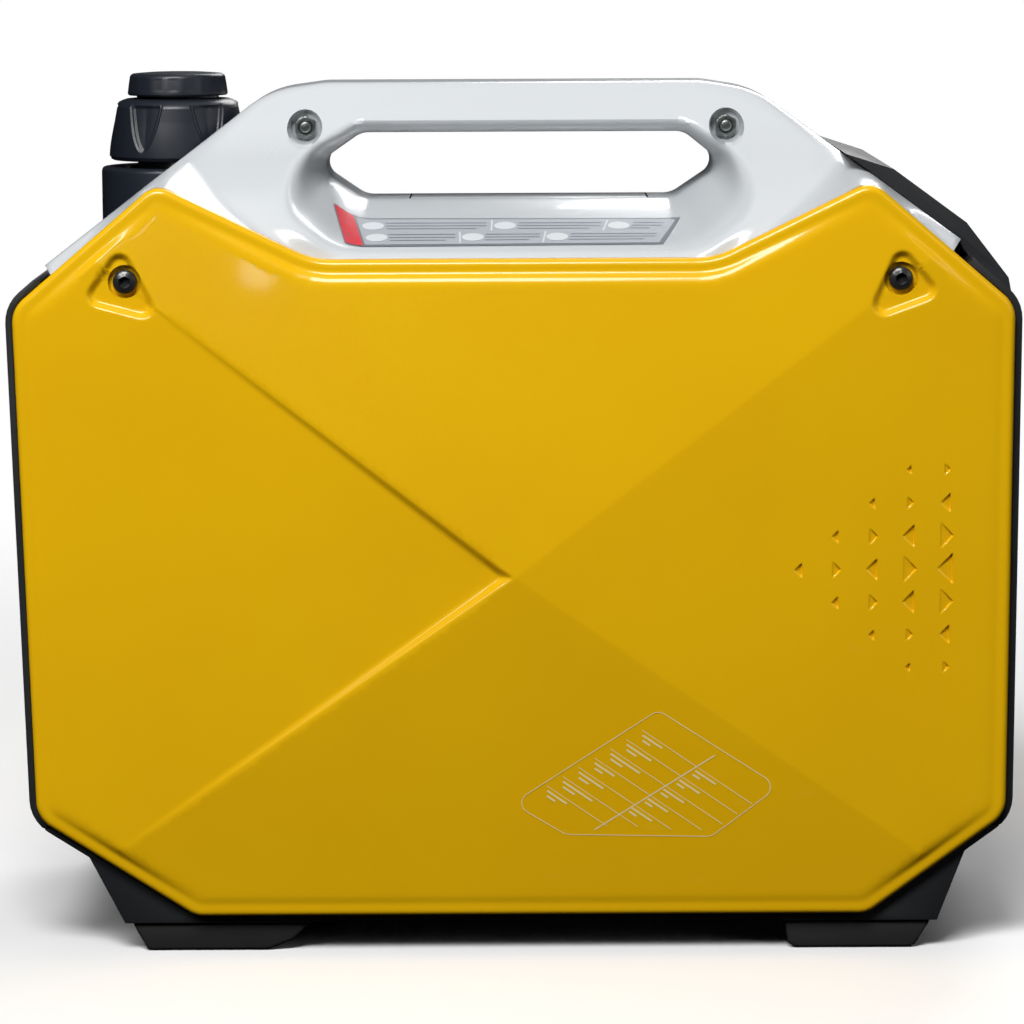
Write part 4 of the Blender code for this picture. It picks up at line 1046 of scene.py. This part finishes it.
def joinPieces(pieces, name):
    # one object out of many small printed marks
    bm = bmesh.new()
    for piece in pieces:
        bm.from_mesh(piece.data)
    mesh = pieces[0].data
    bm.to_mesh(mesh)
    bm.free()
    for piece in pieces[1:]:
        spare = piece.data
        bpy.data.objects.remove(piece)
        bpy.data.meshes.remove(spare)
    pieces[0].name = name
    return pieces[0]


def buildSlopeLabel():
    label = slopeLabel
    a, b, c, d = [Vector(p) for p in label["outline"]]
    at = lambda u, v: a.lerp(b, u).lerp(d.lerp(c, u), v)
    lift = label["lift"]
    corner = lambda points, r: roundedOutline([(p.x, p.y, r) for p in points], 4, 0.006)
    slopeDecal("slope_label_border", corner([a, b, c, d], 0.0016), "stickerEdge", lift)
    red = label["redEnd"] / (b - a).length
    redCorners = [at(0.004, 0.02), at(red, 0.02), at(red, 0.98), at(0.004, 0.98)]
    fieldCorners = [at(red + 0.006, 0.05), at(0.990, 0.05), at(0.985, 0.95), at(red + 0.006, 0.95)]
    slopeDecal("slope_label_red", corner(redCorners, 0.0010), "stickerRed", lift * 1.5)
    slopeDecal("slope_label_field", corner(fieldCorners, 0.0010), "stickerGrey", lift * 1.5)
    badges, words, gaps = [], [], []
    for cells, v0, v1 in ((label["upperCells"], 0.10, 0.50), (label["lowerCells"], 0.52, 0.92)):
        for k in range(len(cells) - 1):
            u0 = red + 0.015 + cells[k] * (0.965 - red)
            u1 = red + 0.015 + cells[k + 1] * (0.965 - red)
            centre = at(u0 + 0.034, (v0 + v1) / 2)
            oval = [centre + Vector((label["badge"] * 0.92 * math.cos(t), label["badge"] * 1.1 * math.sin(t)))
                    for t in (math.tau * i / 28 for i in range(28))]
            badges.append(slopeDecal("badge", oval, "stickerPale", lift * 2))
            if k:
                gap = [at(u0 - 0.008, v0), at(u0 - 0.003, v0), at(u0 - 0.003, v1), at(u0 - 0.008, v1)]
                gaps.append(slopeDecal("gap", gap, "stickerPale", lift * 2))
            for row in range(3):
                v = v0 + (v1 - v0) * (0.24 + 0.26 * row)
                end = u1 - 0.020 - (0.03 if row == 2 else 0.0)
                half = label["print"] / 2 / (d - a).length
                line = [at(u0 + 0.072, v - half), at(end, v - half), at(end, v + half), at(u0 + 0.072, v + half)]
                words.append(slopeDecal("words", line, "stickerEdge", lift * 2))
    joinPieces(badges, "slope_label_badges")
    joinPieces(words, "slope_label_lines")
    joinPieces(gaps, "slope_label_gaps")


ratingPlate = {
    "outline": [(0.0715, 0.1268, 0.0060), (0.1325, 0.0868, 0.0060), (0.0985, 0.0607, 0.0070), (0.0250, 0.0621, 0.0100),
                (-0.0020, 0.0785, 0.0055)],
    "firstRow": ((0.0636, 0.1164), (0.1190, 0.0776)), "rowStep": (-0.00800, -0.00480), "rows": 7,
    "rowEnds": (1.0, 1.01, 1.02, 0.975, 0.84, 0.68, 0.545), "divider": ((0.1000, 0.1031), (0.0395, 0.0645)),
    "line": 0.00032, "thick": 0.00060, "lift": 0.00018,
}


def panelRibbon(name, points, width, material, closed=False):
    # thin printed line that lies on the near panel
    points = [Vector(p) for p in points]
    if closed:
        points = points + [points[0]]
    split = []
    for a, b in zip(points, points[1:]):
        cuts = max(1, math.ceil((b - a).length / 0.004))
        split += [a.lerp(b, k / cuts) for k in range(cuts)]
    split.append(points[-1])
    flat, count = [], len(split)
    for i, p in enumerate(split):
        before = split[i - 1] if i else (split[-2] if closed else p)
        after = split[i + 1] if i + 1 < count else (split[1] if closed else p)
        along = (after - before).normalized()
        normal = Vector((-along.y, along.x))
        flat += [p - normal * width / 2, p + normal * width / 2]
    rise = facetHeight(np.array([tuple(p) for p in flat]), True)
    verts = [(p.x, -(sidePanel["plane"] + h + ratingPlate["lift"]), p.y) for p, h in zip(flat, rise)]
    faces = [(2 * i, 2 * i + 1, 2 * i + 3, 2 * i + 2) for i in range(count - 1)]
    return newPiece(name, verts, faces, materials[material], "housing")


def buildRatingPlate():
    plate = ratingPlate
    panelRibbon("rating_plate_border", roundedOutline(plate["outline"], 8), plate["line"] * 1.2, "printPale", True)
    rows, words = [], []
    start, end = Vector(plate["firstRow"][0]), Vector(plate["firstRow"][1])
    along = (end - start).normalized()
    step = Vector(plate["rowStep"])
    top, bottom = Vector(plate["divider"][0]), Vector(plate["divider"][1])
    for k in range(plate["rows"]):
        a = start + step * k
        b = a + (end - start) * plate["rowEnds"][k]
        rows.append(panelRibbon("row", [a, b], plate["line"], "printPale"))
        across = Vector((-along.y, along.x))
        for begin, extent, drop in ((0.0015, 0.0150, -0.0021), (0.0030, 0.0060, -0.0044)):
            spot = a + along * begin + across * drop
            reach = extent * (0.8 + 0.2 * ((k * 7) % 3))
            words.append(panelRibbon("word", [spot, spot + along * reach], 0.0009, "printPale"))
        if k < 5:
            cross = a + along * 0.0325
            for begin, extent, drop in ((0.0015, 0.0125, -0.0021), (0.0015, 0.0045, -0.0044)):
                spot = cross + along * begin + across * drop
                words.append(panelRibbon("word", [spot, spot + along * extent], 0.0009, "printPale"))
    rows.append(panelRibbon("row", [top, bottom], plate["thick"], "printPale"))
    joinPieces(rows, "rating_plate_rows")
    joinPieces(words, "rating_plate_words")


buildSlopeLabel()
buildRatingPlate()
print("labels built")


# service door on the far side: it carries the facets across, with a dish round its latch
serviceDoor = {"gap": 0.0010, "edgeRound": 0.0012, "lift": 0.0003, "thick": 0.0035, "hingeRise": 0.0033,
               "latch": (-0.038, 0.216), "dish": 0.0150, "dishFloor": 0.0040}


def buildServiceDoor():
    door = serviceDoor
    gap = door["gap"]
    x0, z0, x1, z1 = doorLow[0] + gap, doorLow[1] + gap, doorHigh[0] - gap, doorHigh[1] - gap
    corners = [(x0, z1, 0.002), (x1, z1, 0.002), (x1, z0, 0.002), (x0, z0, 0.002)]
    outline = roundedOutline(corners, 4, 0.003)
    lx, lz = door["latch"]
    rings = [circle(lx, lz, r, 48) for r in (0.0110, 0.0125, 0.0140, 0.0155)]
    inset = [roundedOutline(grownCorners(corners, -d), 4, 0.003) for d in (0.0003, 0.0007, 0.0012)]
    latchHole = circle(lx, lz, 0.0063, 32)
    spots, faces = filledSheet(outline, [latchHole], rings + inset, spacing=0.0030)
    flat = np.array(spots)
    height = facetHeight(flat, False) + door["lift"]
    height = np.minimum(height, door["hingeRise"] + (flat[:, 0] - x0) * 0.75)
    reach = np.hypot(flat[:, 0] - lx, flat[:, 1] - lz)
    blend = np.clip((reach - 0.0108) / (door["dish"] - 0.0108), 0, 1)
    blend = blend * blend * (3 - 2 * blend)
    height = door["dishFloor"] * (1 - blend) + height * blend
    edge = np.clip(1 - loopDistance(flat, outline) / door["edgeRound"], 0, 1)
    height -= door["edgeRound"] * (1 - np.sqrt(1 - edge * edge))
    plane = sidePanel["plane"]
    verts = [(x, plane + h, z) for (x, z), h in zip(spots, height)]
    faces = [tuple(f) for f in faces]
    start = len(verts)
    edgeHeights = dict(zip([(round(x, 6), round(z, 6)) for x, z in spots], height))
    heights = [edgeHeights.get((round(p.x, 6), round(p.y, 6)), door["lift"]) for p in outline]
    for sink in (False, True):
        verts += [(p.x, plane - 0.0020 if sink else plane + h, p.y) for p, h in zip(outline, heights)]
    faces += ringFaces(2, len(outline), offset=start)
    faces.append(tuple(range(start + len(outline), start + 2 * len(outline))))
    newPiece("service_door_skin", verts, faces, materials["yellowGloss"], "service_door", ["service_door"], 50)


buildServiceDoor()


# control panel details: lamps, printed frames and ticks, screws
controls = {"lampZ": (0.2700, 0.2590, 0.2480), "lampY": 0.030, "lampRadius": 0.0032, "screwRadius": 0.0032,
            "screwSpots": ((-0.084, 0.109), (0.084, 0.109), (-0.084, 0.304), (0.084, 0.304))}


def faceX():
    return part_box("control_panel")[0].x


def frontRing(name, y, z, profile, material, body="housing", steps=40):
    # round part that stands out of the front face; profile is (radius, distance out)
    x = faceX()
    verts, faces = latheAlong("X", (0, y, z), [(r, x - out) for r, out in profile], steps)
    return newPiece(name, verts, faces, materials[material], body)


def frontPrint(name, points, width, closed=True):
    # printed line on the front face; points are (y, z)
    x = faceX() - 0.00015
    points = [Vector(p) for p in points]
    verts, faces = [], []
    count = len(points)
    for i, p in enumerate(points):
        before = points[i - 1] if (closed or i) else p
        after = points[(i + 1) % count] if (closed or i + 1 < count) else p
        along = (after - before).normalized()
        normal = Vector((-along.y, along.x)) * width / 2
        verts += [(x, p.x - normal.x, p.y - normal.y), (x, p.x + normal.x, p.y + normal.y)]
    for i in range(count if closed else count - 1):
        j = (i + 1) % count
        faces.append((2 * i, 2 * i + 1, 2 * j + 1, 2 * j))
    return newPiece(name, verts, faces, materials["printWhite"], "housing")


def buildControls():
    values = controls
    lamp = values["lampRadius"]
    bezel = [(lamp + 0.0014, -0.001), (lamp + 0.0014, 0.0006), (lamp + 0.0010, 0.0010), (lamp + 0.0002, 0.0010),
             (lamp, 0.0002)]
    lens = [(lamp, 0.0)] + [(lamp * math.cos(a), 0.0004 + 0.0016 * math.sin(a))
                            for a in (math.pi / 2 * i / 6 for i in range(6))] + [(0.0, 0.0020)]
    for k, (z, finishName) in enumerate(zip(values["lampZ"], ("lampGreen", "lampAmber", "redButton"))):
        y = values["lampY"]
        frontRing("lamp_bezel_%d" % k, y, z, bezel, "boltBlack")
        frontRing("lamp_lens_%d" % k, y, z, lens, finishName)
        frontPrint("lamp_line_%d" % k, [(y - 0.008, z), (y - 0.016, z)], 0.0012, False)
    for k, (y, z) in enumerate(values["screwSpots"]):
        r = values["screwRadius"]
        head = [(r, -0.001), (r, 0.0004), (r * 0.8, 0.0011), (r * 0.36, 0.0015), (r * 0.34, 0.0004), (0.0, 0.0003)]
        frontRing("panel_screw_%d" % k, y, z, head, "zincDark", steps=24)
    marks = []
    knobLow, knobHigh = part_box("engine_switch_knob")
    ky, kz = (knobLow.y + knobHigh.y) / 2, (knobLow.z + knobHigh.z) / 2
    reach = (knobHigh.z - knobLow.z) / 2
    for step in range(0, 121, 30):
        angle = math.radians(90 + step)
        a = (ky + (reach + 0.002) * math.cos(angle), kz + (reach + 0.002) * math.sin(angle))
        b = (ky + (reach + 0.005) * math.cos(angle), kz + (reach + 0.005) * math.sin(angle))
        marks.append(frontPrint("tick", [a, b], 0.0010, False))
    for node, grow in (("socket_lid_left", 0.004), ("socket_lid_right", 0.004), ("eco_rocker", 0.005),
                       ("dc_reset_button", 0.005), ("ac_reset_button", 0.005), ("dc_socket", 0.004)):
        low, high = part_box(node)
        corners = [(low.y - grow, low.z - grow, 0.004), (high.y + grow, low.z - grow, 0.004),
                   (high.y + grow, high.z + grow, 0.004), (low.y - grow, high.z + grow, 0.004)]
        marks.append(frontPrint("frame", roundedOutline(corners, 5), 0.0006))
    joinPieces(marks, "control_prints")


buildControls()
print("door and controls built")


# stage, lights and camera
studio = {
    "floorColour": (0.93, 0.93, 0.93), "floorReach": 2.4, "fadeStart": 0.45, "fadeEnd": 1.6,
    "skyLight": 0.42, "groundLight": 0.03,
    "keyPower": 80, "fillPower": 6, "topPower": 5, "rearPower": 34, "stripPower": 12,
    "target": (-0.0015, 0.0, 0.208), "elevation": 8.0, "distance": 2.2, "lens": 145.2, "roll": 0.26,
}


def setRange(node, before, after):
    for label, value in zip(("From Min", "From Max", "To Min", "To Max"), (*before, *after)):
        node.inputs[label].default_value = value


def stageFloor():
    profile = [(studio["floorReach"] * k / 12, 0.0) for k in range(13)]
    verts, faces = latheAlong("Z", (0, 0, -0.0004), profile, 96)
    faces = [f for f in faces if len(f) == 4]
    mesh = bpy.data.meshes.new("studio_floor")
    mesh.from_pydata(verts, [], faces)
    floor = bpy.data.objects.new("studio_floor", mesh)
    bpy.context.scene.collection.objects.link(floor)
    paper = bpy.data.materials.new("studioPaper")
    paper.use_nodes = True
    tree = paper.node_tree
    shader = tree.nodes["Principled BSDF"]
    coords = tree.nodes.new("ShaderNodeTexCoord").outputs["Object"]
    mix = tree.nodes.new("ShaderNodeMix")
    mix.data_type = "RGBA"
    mix.inputs["A"].default_value = (*studio["floorColour"], 1)
    mix.inputs["B"].default_value = (*(c * 0.985 for c in studio["floorColour"]), 1)
    tree.links.new(noiseNode(tree, coords, 6.0, 4.0), mix.inputs["Factor"])
    tree.links.new(mix.outputs["Result"], shader.inputs["Base Color"])
    shader.inputs["Roughness"].default_value = 0.9
    shader.inputs["Specular IOR Level"].default_value = 0.1
    # the paper fades into the white room away from the object
    length = tree.nodes.new("ShaderNodeVectorMath")
    length.operation = "LENGTH"
    tree.links.new(coords, length.inputs[0])
    fade = tree.nodes.new("ShaderNodeMapRange")
    fade.interpolation_type = "SMOOTHSTEP"
    setRange(fade, (studio["fadeStart"], studio["fadeEnd"]), (1.0, 0.0))
    tree.links.new(length.outputs["Value"], fade.inputs["Value"])
    tree.links.new(fade.outputs[0], shader.inputs["Alpha"])
    mesh.materials.append(paper)
    floor.visible_glossy = floor.visible_diffuse = False  # keeps its glare off the yellow, which stays deep


def softLight(name, place, aim, size, power, colour=(1, 1, 1)):
    data = bpy.data.lights.new(name, "AREA")
    data.shape = "RECTANGLE"
    data.size, data.size_y = size
    data.energy = power
    data.color = colour
    light = bpy.data.objects.new(name, data)
    light.location = place
    light.rotation_euler = (Vector(aim) - Vector(place)).to_track_quat("-Z", "Y").to_euler()
    bpy.context.scene.collection.objects.link(light)


def studioLights():
    world = bpy.data.worlds.new("studioWorld")
    world.use_nodes = True
    tree = world.node_tree
    room = tree.nodes["Background"]
    # the room is dim below and pale above; seen directly it is plain white paper
    coords = tree.nodes.new("ShaderNodeTexCoord").outputs["Generated"]
    split = tree.nodes.new("ShaderNodeSeparateXYZ")
    tree.links.new(coords, split.inputs["Vector"])
    rise = tree.nodes.new("ShaderNodeMapRange")
    rise.interpolation_type = "SMOOTHSTEP"
    setRange(rise, (0.02, 0.60), (studio["groundLight"], studio["skyLight"]))
    tree.links.new(split.outputs["Z"], rise.inputs["Value"])
    tree.links.new(rise.outputs[0], room.inputs["Strength"])
    paper = tree.nodes.new("ShaderNodeBackground")
    paper.inputs["Color"].default_value = (1, 1, 1, 1)
    choose = tree.nodes.new("ShaderNodeMixShader")
    tree.links.new(tree.nodes.new("ShaderNodeLightPath").outputs["Is Camera Ray"], choose.inputs["Fac"])
    tree.links.new(room.outputs[0], choose.inputs[1])
    tree.links.new(paper.outputs[0], choose.inputs[2])
    tree.links.new(choose.outputs[0], tree.nodes["World Output"].inputs["Surface"])
    bpy.context.scene.world = world
    softLight("key_box", (-0.45, -1.9, 2.4), (0, 0, 0.2), (1.3, 0.9), studio["keyPower"])
    softLight("top_box", (0.2, 0.2, 2.4), (0, 0, 0.2), (2.0, 1.6), studio["topPower"])
    softLight("right_fill", (2.0, -1.6, 1.2), (0, 0, 0.2), (1.0, 1.4), studio["fillPower"])
    softLight("crease_strip", (-1.00, -1.55, 1.40), (-0.05, -0.14, 0.15), (0.50, 0.40), studio["stripPower"])
    softLight("rear_box", (0.7, 2.3, 1.9), (0, 0, 0.2), (1.4, 1.1), studio["rearPower"])
    softLight("window_card", (-0.34, -3.6, 0.62), (-0.09, -0.14, 0.27), (0.040, 0.052), 0.10)
    softLight("bright_card", (-0.62, -3.4, 0.72), (-0.15, -0.14, 0.31), (0.20, 0.09), 0.45)


def studioCamera():
    rise = math.radians(studio["elevation"])
    away = Vector((0, -math.cos(rise), math.sin(rise)))
    right, up = Vector((1, 0, 0)), Vector((0, math.sin(rise), math.cos(rise)))
    tilt = math.radians(studio["roll"])
    axisX = right * math.cos(tilt) - up * math.sin(tilt)
    axisY = up * math.cos(tilt) + right * math.sin(tilt)
    data = bpy.data.cameras.new("camera")
    data.lens, data.sensor_width = studio["lens"], 36
    data.clip_start, data.clip_end = 0.05, 30
    camera = bpy.data.objects.new("camera", data)
    place = Vector(studio["target"]) + away * studio["distance"]
    camera.matrix_world = Matrix.Translation(place) @ Matrix((axisX, axisY, away)).transposed().to_4x4()
    bpy.context.scene.collection.objects.link(camera)
    bpy.context.scene.camera = camera


stageFloor()
studioLights()
studioCamera()
bpy.context.scene.view_settings.view_transform = "Standard"
print("stage, lights and camera set")
